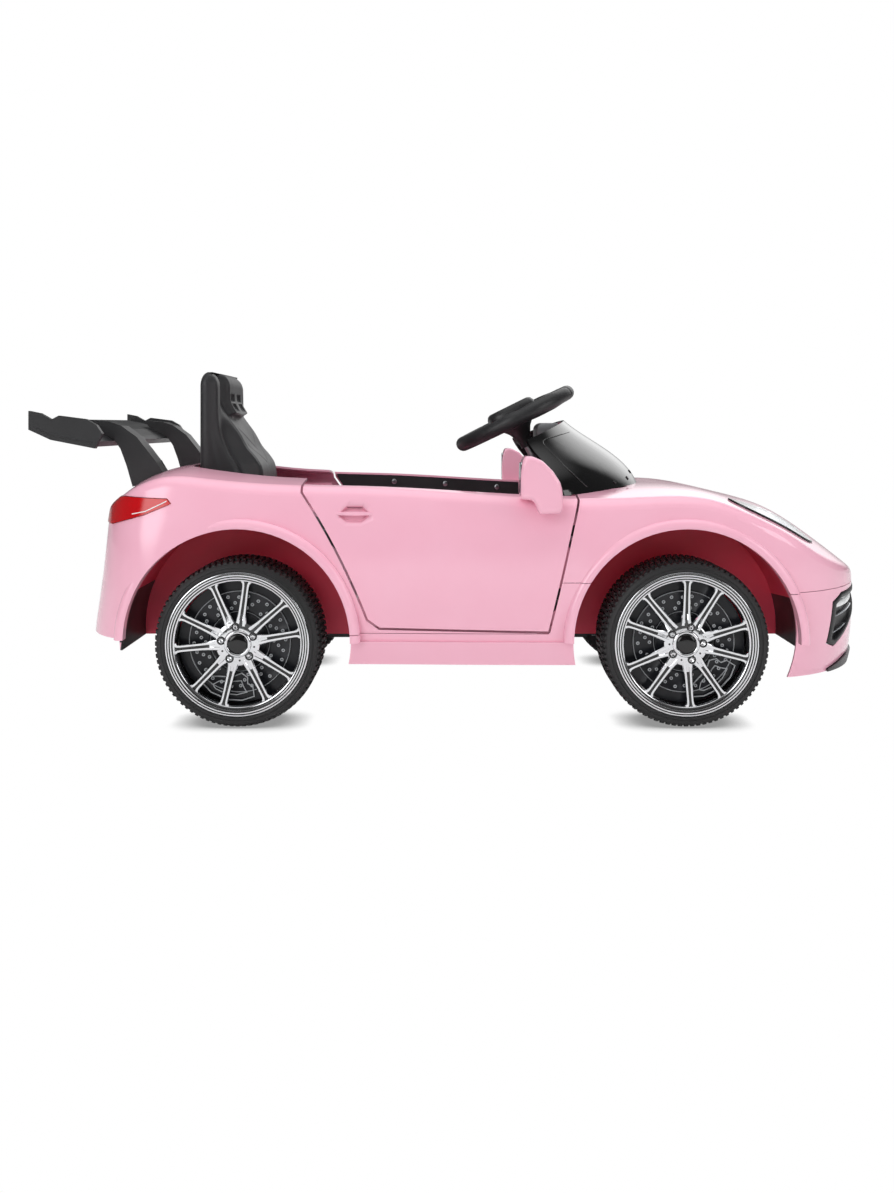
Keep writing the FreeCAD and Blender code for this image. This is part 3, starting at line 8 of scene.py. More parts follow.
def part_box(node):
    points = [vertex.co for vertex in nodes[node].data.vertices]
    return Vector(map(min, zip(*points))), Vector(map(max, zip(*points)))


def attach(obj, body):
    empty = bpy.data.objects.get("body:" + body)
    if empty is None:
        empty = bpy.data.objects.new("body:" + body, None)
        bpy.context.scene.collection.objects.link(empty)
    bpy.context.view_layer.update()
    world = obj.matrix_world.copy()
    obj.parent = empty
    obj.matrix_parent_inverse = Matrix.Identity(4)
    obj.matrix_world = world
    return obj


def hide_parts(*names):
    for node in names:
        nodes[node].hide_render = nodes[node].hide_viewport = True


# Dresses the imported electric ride-on car: metres, nose towards +X, the photographed side at -Y
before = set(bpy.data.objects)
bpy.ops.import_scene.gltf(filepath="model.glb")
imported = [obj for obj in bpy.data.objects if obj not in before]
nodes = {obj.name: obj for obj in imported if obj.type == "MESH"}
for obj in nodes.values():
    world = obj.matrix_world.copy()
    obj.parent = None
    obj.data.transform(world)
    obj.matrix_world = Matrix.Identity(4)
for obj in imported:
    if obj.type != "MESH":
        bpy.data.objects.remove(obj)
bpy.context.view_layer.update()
scene = bpy.context.scene
mm = 0.001
hands = (("right", -1), ("left", 1))
print("frame loaded:", len(nodes), "nodes")


def linear(hexText):
    # sRGB hex to the linear colour that shaders take
    channels = [int(hexText[i:i + 2], 16) / 255 for i in (1, 3, 5)]
    return tuple(c / 12.92 if c <= 0.04045 else ((c + 0.055) / 1.055) ** 2.4 for c in channels) + (1.0,)


def addNode(tree, kind, settings=None, inputs=None):
    # settings are the node's own properties; an input takes a value or another node's output
    node = tree.nodes.new(kind)
    for name, value in (settings or {}).items():
        setattr(node, name, value)
    for key, value in (inputs or {}).items():
        if isinstance(value, bpy.types.NodeSocket):
            tree.links.new(value, node.inputs[key])
        else:
            node.inputs[key].default_value = value
    return node


def startMaterial(name, settings):
    # an empty material: its shader with constant values, and the piece's own coordinates
    material = bpy.data.materials.new(name)
    material.use_nodes = True
    tree = material.node_tree
    tree.nodes.clear()
    shader = addNode(tree, "ShaderNodeBsdfPrincipled", None, settings)
    addNode(tree, "ShaderNodeOutputMaterial", None, {"Surface": shader.outputs["BSDF"]})
    coords = addNode(tree, "ShaderNodeTexCoord")
    return material, tree, shader, coords.outputs["Object"]


def noise(tree, place, sizeMm, detail=2.0):
    inputs = {"Vector": place, "Scale": 1 / (sizeMm * mm), "Detail": detail}
    return addNode(tree, "ShaderNodeTexNoise", None, inputs).outputs["Fac"]


def mixed(tree, share, dark, light):
    inputs = {0: share, 6: linear(dark), 7: linear(light)}
    return addNode(tree, "ShaderNodeMix", {"data_type": "RGBA"}, inputs).outputs[2]


def ranged(tree, value, fromMin, fromMax, toMin, toMax, kind="LINEAR"):
    inputs = {"Value": value, "From Min": fromMin, "From Max": fromMax, "To Min": toMin, "To Max": toMax}
    return addNode(tree, "ShaderNodeMapRange", {"interpolation_type": kind}, inputs).outputs["Result"]


def pressIn(tree, shader, depth, height):
    bump = addNode(tree, "ShaderNodeBump", None, {"Strength": depth, "Distance": 0.2 * mm, "Height": height})
    tree.links.new(bump.outputs["Normal"], shader.inputs["Normal"])


def moulded(name, dark, light, rough, grainMm, grainDepth, settings=None, cells=False, cloud=(60, 3.0)):
    # faint cloudy colour, uneven gloss, and a grain pressed in by the mould, as noise or as cells
    material, tree, shader, place = startMaterial(name, settings or {})
    share = noise(tree, place, *cloud)
    tree.links.new(mixed(tree, share, dark, light), shader.inputs["Base Color"])
    tree.links.new(ranged(tree, share, 0.3, 0.7, *rough), shader.inputs["Roughness"])
    if cells:
        net = addNode(tree, "ShaderNodeTexVoronoi", {"feature": "DISTANCE_TO_EDGE"},
                      {"Vector": place, "Scale": 1 / (grainMm * mm)})
        height = ranged(tree, net.outputs["Distance"], 0.0, 0.25, 0.0, 1.0)
    else:
        height = noise(tree, place, grainMm)
    pressIn(tree, shader, grainDepth, height)
    return material


def plated(name, dark, light, rough, grainMm, grainDepth):
    # the same on metal, in smaller clouds
    return moulded(name, dark, light, rough, grainMm, grainDepth, {"Metallic": 1.0}, cloud=(35, 4.0))


# ABS moulded in its own colour and polished: even pink under a clear bright gloss, soft orange peel 9 mm wide
pinkAbs = moulded("pink gloss ABS", "#F7B6CB", "#FABED2", (0.1, 0.15), 9, 0.06,
                  {"IOR": 1.5, "Coat Weight": 0.35, "Coat Roughness": 0.05})
# the same pink ABS inside the arches, coloured deep red as painted shade: the red stands for the pink seen in deep
# shadow there
archShadeAbs = moulded("pink ABS, painted arch shade", "#E6405A", "#F04A64", (0.4, 0.55), 3, 0.15, {"IOR": 1.5})
# polypropylene with a fine spark-eroded grain, 1.2 mm so that it shows: dark and softly shining
satinBlackPp = moulded("black grained PP", "#232324", "#2C2C2E", (0.36, 0.46), 1.2, 0.35, {"IOR": 1.49})
# blow-moulded seat with a leather grain of 2.2 mm cells
seatPp = moulded("leather-grained black PP", "#262628", "#303032", (0.4, 0.5), 2.2, 0.35, {"IOR": 1.49}, cells=True)
# polished black ABS: mirror gloss over black
glossBlackAbs = moulded("black gloss ABS", "#070708", "#0B0B0C", (0.07, 0.13), 14, 0.05,
                        {"IOR": 1.5, "Coat Weight": 0.4, "Coat Roughness": 0.04})
# blow-moulded tyre: hard black plastic with a dull skin, 1.6 mm grain
tyrePlastic = moulded("black tyre plastic", "#1E1E1F", "#272728", (0.5, 0.62), 1.6, 0.3, {"IOR": 1.5})
# backing discs: bluish black PP, half gloss
discPp = moulded("blue-black PP", "#101116", "#191B22", (0.28, 0.4), 2, 0.2, {"IOR": 1.49})
# grey PP of the instrument hood
greyPp = moulded("grey PP", "#77787B", "#828386", (0.35, 0.45), 1.2, 0.25, {"IOR": 1.49})
# pale grey on the raised edges, hole rims and caliper outlines of the backing discs: painted highlights where those
# edges catch the light
paintedEdgeHighlight = moulded("pale grey painted highlight", "#B4B7BA", "#C6C9CC", (0.3, 0.42), 1.5, 0.15, {"IOR": 1.5})
# red PP of the buttons
redPp = moulded("red PP", "#B81A10", "#C62417", (0.25, 0.35), 1.2, 0.15, {"IOR": 1.49})
# red acrylic lamp lens: deep clear red with a wet gloss
redAcrylic = moulded("red acrylic lens", "#B4000B", "#D00A14", (0.12, 0.18), 10, 0.05,
                     {"IOR": 1.49, "Coat Weight": 0.3, "Coat Roughness": 0.06})
# milky polycarbonate over light strips
milkyPc = moulded("milky PC", "#F1F3F4", "#FAFBFB", (0.2, 0.3), 4, 0.1, {"IOR": 1.58})
# chrome plated on ABS: a mirror with the slight waves of the moulding below
chromePlate = plated("chrome on ABS", "#E4E6E9", "#F1F2F4", (0.05, 0.11), 12, 0.1)
# zinc plated steel: cool grey, matt
zincSteel = plated("zinc-plated steel", "#A4A7AB", "#B8BBBE", (0.3, 0.42), 2, 0.2)
# aluminium film behind the lamps and on the mirrors
silverFilm = plated("aluminium film", "#C4C8CE", "#D6DADF", (0.14, 0.2), 6, 0.12)
# clear polycarbonate lamp lens: water-clear, smooth, with faint ripples of 20 mm
clearPc, lensTree, lensShader, lensPlace = startMaterial(
    "clear PC lens", {"Base Color": linear("#F4F8FB"), "Roughness": 0.03, "IOR": 1.45, "Transmission Weight": 1.0})
pressIn(lensTree, lensShader, 0.05, noise(lensTree, lensPlace, 20))
print("materials made")


def atMm(x, y, z):
    return Vector((x, y, z)) * mm


def inScene(name, data):
    obj = bpy.data.objects.new(name, data)
    scene.collection.objects.link(obj)
    return obj


def settled(carrier):
    # the mesh that an object's modifiers make of it; the object goes
    bpy.context.view_layer.update()
    mesh = bpy.data.meshes.new_from_object(carrier.evaluated_get(bpy.context.evaluated_depsgraph_get()))
    carrier.modifiers.clear()
    bpy.data.objects.remove(carrier)
    return mesh


def toMesh(name, bm, material, sharp=40):
    # a finished mesh, smooth but for its sharp edges
    bmesh.ops.remove_doubles(bm, verts=bm.verts, dist=1e-6)
    bmesh.ops.recalc_face_normals(bm, faces=bm.faces)
    mesh = bpy.data.meshes.new(name)
    bm.to_mesh(mesh)
    bm.free()
    mesh.polygons.foreach_set("use_smooth", [True] * len(mesh.polygons))
    mesh.set_sharp_from_angle(angle=math.radians(sharp))
    mesh.materials.append(material)
    return mesh


def turns(count):
    # angles once round
    return [2 * math.pi * i / count for i in range(count)]


def rotate(bm, degrees, axis):
    bmesh.ops.rotate(bm, verts=bm.verts, matrix=Matrix.Rotation(math.radians(degrees), 3, axis))


def pour(piece, bm):
    # adds one bmesh to another
    part = bpy.data.meshes.new("part")
    piece.to_mesh(part)
    piece.free()
    bm.from_mesh(part)
    bpy.data.meshes.remove(part)


def lathe(bm, profile, steps):
    # closed profile of radius and place along Y, in mm, turned about Y
    rings = []
    for angle in turns(steps):
        rings.append([bm.verts.new((r * mm * math.cos(angle), y * mm, r * mm * math.sin(angle))) for r, y in profile])
    for i in range(steps):
        now, after = rings[i], rings[(i + 1) % steps]
        for j in range(len(profile)):
            k = (j + 1) % len(profile)
            bm.faces.new((now[j], now[k], after[k], after[j]))


def turned(name, material, sharp, steps, *profiles, upright=False):
    # a mesh of profiles turned about Y, or about Z when upright
    bm = bmesh.new()
    for profile in profiles:
        lathe(bm, profile, steps)
    if upright:
        rotate(bm, 90, "X")
    return toMesh(name, bm, material, sharp)


def loft(bm, sections, caps=True):
    # skin over closed rows of points with the same count, in metres
    rows = [[bm.verts.new(point) for point in section] for section in sections]
    count = len(rows[0])
    for now, after in zip(rows, rows[1:]):
        for j in range(count):
            k = (j + 1) % count
            bm.faces.new((now[j], now[k], after[k], after[j]))
    if caps:
        bm.faces.new(rows[0])
        bm.faces.new(list(reversed(rows[-1])))
    return rows


def skinned(name, material, sharp, *pieces, caps=True):
    # a mesh of pieces, each a list of sections
    bm = bmesh.new()
    for sections in pieces:
        loft(bm, sections, caps)
    return toMesh(name, bm, material, sharp)


def boxMesh(bm, low, high, taper=0.0):
    # a block between two corners in mm; taper draws its +X face in
    spots = []
    for x in (low[0], high[0]):
        t = taper if x == high[0] else 0
        y0, y1, z0, z1 = low[1] + t, high[1] - t, low[2] + t, high[2] - t
        for y, z in ((y0, z0), (y1, z0), (y1, z1), (y0, z1)):
            spots.append(bm.verts.new((x * mm, y * mm, z * mm)))
    for face in ((0, 3, 2, 1), (4, 5, 6, 7), (0, 1, 5, 4), (1, 2, 6, 5), (2, 3, 7, 6), (3, 0, 4, 7)):
        bm.faces.new([spots[i] for i in face])


def newTree(name, inputs):
    tree = bpy.data.node_groups.new(name, "GeometryNodeTree")
    tree.interface.new_socket("Geometry", in_out="INPUT", socket_type="NodeSocketGeometry")
    for label, kind in inputs:
        tree.interface.new_socket(label, in_out="INPUT", socket_type=kind)
    tree.interface.new_socket("Geometry", in_out="OUTPUT", socket_type="NodeSocketGeometry")
    return tree, addNode(tree, "NodeGroupInput").outputs


def endTree(tree, inputs, points, rotation):
    # the piece on every point, as one mesh with one finish
    piece = addNode(tree, "GeometryNodeObjectInfo", None, {"Object": inputs["Piece"], "As Instance": True})
    copies = addNode(tree, "GeometryNodeInstanceOnPoints", None,
                     {"Points": points, "Instance": piece.outputs["Geometry"], "Rotation": rotation.outputs[0]})
    real = addNode(tree, "GeometryNodeRealizeInstances", None, {0: copies.outputs[0]})
    done = addNode(tree, "GeometryNodeSetMaterial", None, {"Geometry": real.outputs[0], "Material": inputs["Finish"]})
    addNode(tree, "NodeGroupOutput", None, {0: done.outputs[0]})


# Ring of pieces: the same piece turned about the wheel's Y axis
ringTree, ringIn = newTree("ring of pieces", [("Piece", "NodeSocketObject"), ("Count", "NodeSocketInt"),
                                              ("Start", "NodeSocketFloat"), ("Finish", "NodeSocketMaterial")])
ringPoints = addNode(ringTree, "GeometryNodePoints", None, {"Count": ringIn["Count"]})
ringStep = addNode(ringTree, "ShaderNodeMath", {"operation": "DIVIDE"}, {0: 2 * math.pi, 1: ringIn["Count"]})
ringIndex = addNode(ringTree, "GeometryNodeInputIndex")
ringAngle = addNode(ringTree, "ShaderNodeMath", {"operation": "MULTIPLY_ADD"},
                    {0: ringIndex.outputs[0], 1: ringStep.outputs[0], 2: ringIn["Start"]})
ringTurn = addNode(ringTree, "FunctionNodeAxisAngleToRotation", None,
                   {"Axis": (0.0, 1.0, 0.0), "Angle": ringAngle.outputs[0]})
endTree(ringTree, ringIn, ringPoints.outputs[0], ringTurn)

# Placed pieces: the same piece on every point of a mesh, its Z axis along the point's facing
spotTree, spotIn = newTree("placed pieces", [("Piece", "NodeSocketObject"), ("Finish", "NodeSocketMaterial")])
spotFacing = addNode(spotTree, "GeometryNodeInputNamedAttribute", {"data_type": "FLOAT_VECTOR"}, {"Name": "facing"})
spotTurn = addNode(spotTree, "FunctionNodeAlignRotationToVector", {"axis": "Z"}, {"Vector": spotFacing.outputs[0]})
endTree(spotTree, spotIn, spotIn["Geometry"], spotTurn)


def spread(name, mesh, tree, base, values):
    # copies of a piece, placed by a tree on a base mesh, as one plain mesh
    piece = inScene(name + "Piece", mesh)
    carrier = inScene(name + "Base", base)
    modifier = carrier.modifiers.new("nodes", "NODES")
    modifier.node_group = tree
    values = {"Piece": piece, "Finish": mesh.materials[0], **values}
    for item in tree.interface.items_tree:
        if item.in_out == "INPUT" and item.name in values:
            modifier[item.identifier] = values[item.name]
    result = settled(carrier)
    result.name = name
    bpy.data.objects.remove(piece)
    return result


def ringOf(name, mesh, count, start):
    return spread(name, mesh, ringTree, bpy.data.meshes.new(name), {"Count": count, "Start": start})


def placedOn(name, mesh, spots):
    # spots are pairs of place and facing, in metres
    base = bpy.data.meshes.new(name)
    base.from_pydata([place for place, way in spots], [], [])
    facing = base.attributes.new("facing", "FLOAT_VECTOR", "POINT")
    facing.data.foreach_set("vector", [v for place, way in spots for v in way])
    return spread(name, mesh, spotTree, base, {})


def joinMeshes(name, *meshes):
    # several meshes in one, each keeping its materials
    bm = bmesh.new()
    materials = []
    for mesh in meshes:
        indices = []
        for material in mesh.materials:
            if material not in materials:
                materials.append(material)
            indices.append(materials.index(material))
        first = len(bm.faces)
        bm.from_mesh(mesh)
        bm.faces.ensure_lookup_table()
        for face in bm.faces[first:]:
            face.material_index = indices[face.material_index]
    joined = bpy.data.meshes.new(name)
    bm.to_mesh(joined)
    bm.free()
    for material in materials:
        joined.materials.append(material)
    return joined


def show(name, mesh, body, slot, *replaced):
    obj = inScene(name, mesh)
    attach(obj, body)
    if replaced:
        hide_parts(*replaced)


def showBoth(name, slot, meshes, *replaced):
    # meshes of the right-hand side and their mirror image, on the chassis
    right = joinMeshes(name, *meshes)
    left = right.copy()
    left.transform(Matrix.Scale(-1, 4, (0, 1, 0)))
    left.flip_normals()
    show(name, joinMeshes(name, right, left), "chassis", slot, *replaced)


def solids(*names):
    # the meshes of CAD pieces in one bmesh
    bm = bmesh.new()
    for name in names:
        mesh = nodes[name].data.copy()
        mesh.transform(nodes[name].matrix_world)
        bm.from_mesh(mesh)
        bpy.data.meshes.remove(mesh)
    return bm


# Wheels, made once about their own axle: local Y, outer face towards -Y, sizes in mm
wheel = {"outer": 106.9, "treadCount": 84, "rimSteps": 128, "pairCount": 5, "pairTurn": -97.4, "pairHalf": 15.5,
         "frontTurn": 23.9, "lipLines": ((89.1, -41.1), (86.05, -40.7), (82.9, -39.7)), "lipLine": (0.65, 0.9),
         "spokeDeep": 8.5, "lugCount": 5, "lugCircle": 21.5, "holeGroups": 14, "holeStart": 0.1,
         "caliperTurn": {"front": 0, "rear": 50}}


def tyreMesh():
    carcass = turned("tyreCarcass", tyrePlastic, 50, 96, [
        (82.1, -38), (92.4, -38), (92.4, -41.6), (93.2, -42.6), (94.6, -43), (95.8, -42.9), (96.3, -42.3), (97, -42.3),
        (97.5, -43), (98.6, -43), (99.2, -42.4), (101, -41.9), (102.6, -40.6), (103.6, -38.4), (104, -36), (104, 36),
        (103.6, 38.4), (102.6, 40.6), (100, 42.6), (96, 43), (82.1, 43)])
    block = bmesh.new()
    for y0, y1, shift, base in ((-41, -31, 0, 102.4), (-29.4, -13, 2, 103.6), (-11.4, 11.4, 0, 103.6),
                                (13, 29.4, 2, 103.6), (31, 41, 0, 102.4)):
        boxMesh(block, (base, y0, shift - 2.5), (wheel["outer"], y1, shift + 2.5), 0.6)
    # the outer blocks wrap round the shoulder
    for vert in block.verts:
        if abs(vert.co.y) > 40 * mm and vert.co.x > 105 * mm:
            vert.co.x -= 2.2 * mm
    tread = ringOf("tyreTread", toMesh("treadBlock", block, tyrePlastic), wheel["treadCount"], 0.0)
    return joinMeshes("tyre", carcass, tread)


def rimMesh():
    steps = wheel["rimSteps"]
    ring = turned("rimRing", chromePlate, 50, steps, [
        (92, -38.1), (92, -42.2), (91.2, -43), (89.9, -43), (89.5, -41.2), (88.7, -41.2), (88.3, -43), (86.9, -43),
        (86.5, -40.8), (85.6, -40.8), (85.2, -42.4), (83.8, -42.2), (83.4, -39.8), (82.4, -39.8), (82, -41),
        (80.6, -40.6), (79.8, -39), (79.6, -33), (80.2, -31), (81.9, -31), (81.9, -38.1)])
    # the barrel behind the lip is black; the bottoms of the three cut lines in the lip are black as a painted dark
    # reflection in the chrome
    half, rise = wheel["lipLine"]
    paintedLipReflections = [[(r - half, y), (r - half, y - rise), (r + half, y - rise), (r + half, y)] for r, y in wheel["lipLines"]]
    barrel = turned("rimBarrel", glossBlackAbs, 50, steps, [(80.3, -31), (79.4, 43), (81.9, 43), (81.9, -31)], *paintedLipReflections)
    hub = turned("rimHub", chromePlate, 50, 64, [
        (12.7, -36), (12.7, -39), (14, -40.2), (15.6, -40.2), (17, -39), (17.8, -37.8), (25.6, -37.6), (28, -36.4),
        (28, -30), (18, -18), (18, 26), (6.2, 26), (6.2, -36)])
    # one spoke: two ridges with a groove between them that fades out at the hub, its floor black as a painted dark
    # reflection in the chrome
    sections, paintedFloorRows = [], []
    for r, w, cut, front in ((23, 7.5, 0, -37.7), (30, 6.6, 1, -37.5), (38, 5.6, 3.4, -37.3), (50, 5.2, 4.6, -37.5),
                             (64, 4.9, 4.6, -38.2), (73, 4.9, 4.6, -38.8), (77, 5.6, 4, -39.2), (79, 7.6, 2, -39.4),
                             (80.6, 9.6, 0.6, -39.4)):
        back = front + wheel["spokeDeep"]
        cross = [(-w + 1, back), (-w, front + 1.4), (-0.8 * w, front), (-0.34 * w, front), (-0.24 * w, front + cut),
                 (0.24 * w, front + cut), (0.34 * w, front), (0.8 * w, front), (w, front + 1.4), (w - 1, back)]
        sections.append([atMm(r, y, t) for t, y in cross])
        if cut > 1.5:
            floor = ((-0.28, cut + 0.5), (-0.28, 1.2), (0.28, 1.2), (0.28, cut + 0.5))
            paintedFloorRows.append([atMm(r, front + y, t * w) for t, y in floor])

    def paired(rows):
        # spokes stand in pairs
        sides = [Matrix.Rotation(math.radians(side * wheel["pairHalf"]), 3, "Y") for side in (-1, 1)]
        return [[[turn @ spot for spot in row] for row in rows] for turn in sides]

    start = math.radians(wheel["pairTurn"])
    spokes = ringOf("rimSpokes", skinned("spokes", chromePlate, 35, *paired(sections)), wheel["pairCount"], start)
    paintedSpokeReflections = ringOf("rimGrooves", skinned("paintedSpokeReflections", glossBlackAbs, 40, *paired(paintedFloorRows)), wheel["pairCount"], start)
    return joinMeshes("rim", ring, barrel, hub, spokes, paintedSpokeReflections)


def capMesh():
    parts = [turned("capDome", glossBlackAbs, 50, 48, [
        (0, -40.8), (5, -40.7), (9.6, -40.2), (11.8, -39.4), (12.5, -38.4), (12.5, -36.2), (0, -36.2)])]
    # nut seats, nuts and, between them, black dots on the same circle, painted shade standing in for blind holes
    for name, material, sharp, turn, steps, profile in (
            ("lugSeats", glossBlackAbs, 40, 0, 20,
             [(3.4, -36.5), (3.4, -38.2), (4, -38.9), (5, -38.9), (5.5, -38.2), (5.5, -36.5)]),
            ("lugNuts", chromePlate, 20, 0, 6,
             [(1.4, -37), (1.4, -39.6), (2.4, -40.2), (3, -39.8), (3.3, -39), (3.3, -36.5)]),
            ("hubDots", glossBlackAbs, 40, 36, 12, [(0, -37.2), (0, -38), (1.3, -38), (1.3, -37.2)])):
        bm = bmesh.new()
        lathe(bm, profile, steps)
        bmesh.ops.translate(bm, verts=bm.verts, vec=(wheel["lugCircle"] * mm, 0, 0))
        start = math.radians(wheel["pairTurn"] + turn)
        parts.append(ringOf(name, toMesh(name, bm, material, sharp), wheel["lugCount"], start))
    return joinMeshes("cap", *parts)


def moved(points, distance, limit):
    # a closed outline moved to its left by a distance, its corners kept; limit keeps sharp corners short
    count = len(points)
    result = []
    for i in range(count):
        before, here, after = (Vector(points[(i + k) % count]) for k in (-1, 0, 1))
        sideA, sideB = (here - before).normalized().orthogonal(), (after - here).normalized().orthogonal()
        side = (sideA + sideB).normalized()
        result.append(here + side * (distance / max(side.dot(sideA), limit)))
    return result


def band(bm, points, width, y0, y1):
    # raised line along a closed outline of X and Z, in mm, between two places along Y
    edges = zip(moved(points, -width / 2, 0.4), moved(points, width / 2, 0.4))
    rows = [[atMm(p.x, y, p.y) for p, y in ((inside, y1), (inside, y0), (outside, y0), (outside, y1))]
            for inside, outside in edges]
    loft(bm, rows + [rows[0]], caps=False)


def discMesh(end):
    disc = turned("discPlate", discPp, 30, 96, [
        (18.1, -13), (18.1, -17.4), (34.4, -17.4), (35.2, -18.6), (36.8, -18.6), (37.4, -17.6), (38.6, -17.6),
        (39.4, -19.6), (40.4, -20.2), (62, -20.2), (63.2, -20.8), (64.4, -20.8), (65.2, -19.4), (65.6, -17.4),
        (79, -17.2), (79, -13)])
    # raised rings in pale grey, painted highlights along their edges
    edges = turned("discEdges", paintedEdgeHighlight, 50, 96, *[
        [(r, y), (r + 0.5, y - 0.5), (r + 1, y), (r + 1, y + 1.4), (r, y + 1.4)]
        for r, y in ((38, -18.6), (64.6, -21.2))])
    # rims of the drilled holes in pale grey, painted highlights
    group = bmesh.new()
    for r, angle in ((44, -7), (50, 0), (57, 6), (59, -8)):
        one = bmesh.new()
        lathe(one, [(1.0, -20.1), (1.0, -20.9), (1.5, -21.1), (2.2, -20.9), (2.4, -20.1)], 8)
        bmesh.ops.translate(one, verts=one.verts, vec=(r * mm, 0, 0))
        rotate(one, angle, "Y")
        pour(one, group)
    holes = ringOf("discHoles", toMesh("discHole", group, paintedEdgeHighlight), wheel["holeGroups"], wheel["holeStart"])
    # outlines of a caliper, pale grey as painted highlights
    relief = bmesh.new()
    band(relief, [(33, -24), (42, -22), (48, -27), (55, -24), (66, -31), (60, -46), (47, -60), (26, -70), (12, -71),
                  (10, -58), (16, -50), (22, -44), (29, -36)], 1.1, -20, -22.4)
    band(relief, [(40, -31), (49, -34), (56, -35), (50, -47), (40, -57), (26, -63), (20, -62), (22, -53), (32, -42)],
         0.9, -20, -21.9)
    rotate(relief, wheel["caliperTurn"][end], "Y")
    return joinMeshes("disc", disc, edges, holes, toMesh("discCaliper", relief, paintedEdgeHighlight, 30))


tyreMaster, rimMaster, capMaster = tyreMesh(), rimMesh(), capMesh()
for end in ("rear", "front"):
    discMaster = discMesh(end)
    for hand, side in hands:
        low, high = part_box("rim_%s_%s" % (end, hand))
        spot = Matrix.Translation((low + high) / 2)
        if hand == "left":
            spot = spot @ Matrix.Rotation(math.pi, 4, "Z")
        for kind, master, slot, node in (("tyre", tyreMaster, "tyre_black", "tyre"),
                                         ("rim", rimMaster, "chrome", "rim"),
                                         ("cap", capMaster, "disc_black", "hub_cap"),
                                         ("disc", discMaster, "disc_black", "brake_disc")):
            mesh = master.copy()
            if end == "front" and kind in ("rim", "cap"):
                mesh.transform(Matrix.Rotation(math.radians(wheel["frontTurn"]), 4, "Y"))
            mesh.transform(spot)
            corner = "%s_%s" % (end, hand)
            show("%s.%s.%s" % (kind, end, hand), mesh, "wheel_" + corner, slot, node + "_" + corner)
print("wheels made")

# Finishes of the CAD pieces that are shown as they are
finishes = [
    (pinkAbs, ["body_shell", "front_bumper", "side_skirts", "tub"]),
    (satinBlackPp, ["door_liner_right", "door_liner_left", "rear_wing", "wing_struts", "chassis_frame",
                    "drive_unit_right", "drive_unit_left", "hub_pad", "dash_panel", "direction_switch",
                    "charging_socket", "accelerator_pedal", "column_bushes", "front_lip", "battery", "control_box"]),
    (glossBlackAbs, ["windscreen_cowl"]),
    (redAcrylic, ["tail_lights"]),
    (clearPc, ["headlight_lenses"]),
    (zincSteel, ["rear_axle", "front_axle_beam", "steering_knuckle_right", "steering_knuckle_left", "tie_rod",
                 "steering_column", "hinge_pins", "chassis_screws"]),
    (greyPp, ["binnacle"]),
    (redPp, ["horn_button", "music_button", "start_button"]),
]
for material, names in finishes:
    for name in names:
        nodes[name].data.materials.clear()
        nodes[name].data.materials.append(material)

# Arch side of the tub, coloured deep red as painted shade, with black plates low at the ends; sizes in mm,
# a plate lies outside the first two X places and below the third value
arch = {"radius": 151.5, "inner": 101, "centres": (-289, 283), "height": 110, "plateRadius": 146,
        "plates": ((-392, -170, 172), (165, 424, 158))}
tubMesh = nodes["tub"].data
tubMesh.materials.append(archShadeAbs)
tubMesh.materials.append(satinBlackPp)
# faces inside an arch that face its wheel get the painted arch shade, the low ones at the ends the black plates
for polygon in tubMesh.polygons:
    spot = polygon.center / mm
    for centre in arch["centres"]:
        inward = Vector((centre - spot.x, 0, arch["height"] - spot.z))
        facesWheel = polygon.normal.dot(inward.normalized()) > 0.2 or polygon.normal.y * spot.y > 0.5 * abs(spot.y)
        if abs(spot.y) > arch["inner"] and inward.length < arch["radius"] and facesWheel:
            polygon.material_index = 1
    end = 0 if spot.x < 0 else 1
    behind, ahead, top = arch["plates"][end]
    outward = math.hypot(spot.x - arch["centres"][end], spot.z - arch["height"])
    low = spot.z < top and not behind < spot.x < ahead
    if polygon.material_index == 1 and outward > arch["plateRadius"] and low:
        polygon.material_index = 2

# Mirror housings: copies of the solids with their edges rounded over, sizes in mm
mirror = {"merge": 0.02, "grid": 1.6, "easing": 0.5, "passes": 16}
for hand, side in hands:
    bm = solids("mirror_housing_" + hand)
    bmesh.ops.remove_doubles(bm, verts=bm.verts, dist=mirror["merge"] * mm)
    merged = bpy.data.meshes.new("mirrorHousing")
    bm.to_mesh(merged)
    bm.free()
    carrier = inScene("mirrorCarrier", merged)
    grid = carrier.modifiers.new("grid", "REMESH")
    grid.mode, grid.voxel_size = "VOXEL", mirror["grid"] * mm
    easing = carrier.modifiers.new("easing", "SMOOTH")
    easing.factor, easing.iterations = mirror["easing"], mirror["passes"]
    rounded = settled(carrier)
    rounded.materials.clear()
    rounded.materials.append(pinkAbs)
    rounded.polygons.foreach_set("use_smooth", [True] * len(rounded.polygons))
    show("mirror.housing." + hand, rounded, "door_" + hand, "pink_body", "mirror_housing_" + hand)
print("finishes given")


def smooth(value, start, end):
    # 0 before start, 1 after end, eased between
    t = min(max((value - start) / (end - start), 0), 1)
    return t * t * (3 - 2 * t)


def along(table, at):
    # smooth curve through a table of (at, value), at rising
    if at <= table[0][0]:
        return table[0][1]
    for i in range(len(table) - 1):
        (a, va), (b, vb) = table[i], table[i + 1]
        if at <= b:
            before, after = table[max(i - 1, 0)], table[min(i + 2, len(table) - 1)]
            slopeA = (vb - before[1]) / (b - before[0])
            slopeB = (after[1] - va) / (after[0] - a)
            t, span = (at - a) / (b - a), b - a
            return ((2 * t ** 3 - 3 * t ** 2 + 1) * va + (t ** 3 - 2 * t ** 2 + t) * span * slopeA
                    + (3 * t ** 2 - 2 * t ** 3) * vb + (t ** 3 - t ** 2) * span * slopeB)
    return table[-1][1]


def groove(distance, width, depth):
    # depth of a rounded line pressed into a surface
    return depth * (1 - smooth(abs(distance), 0, width / 2))


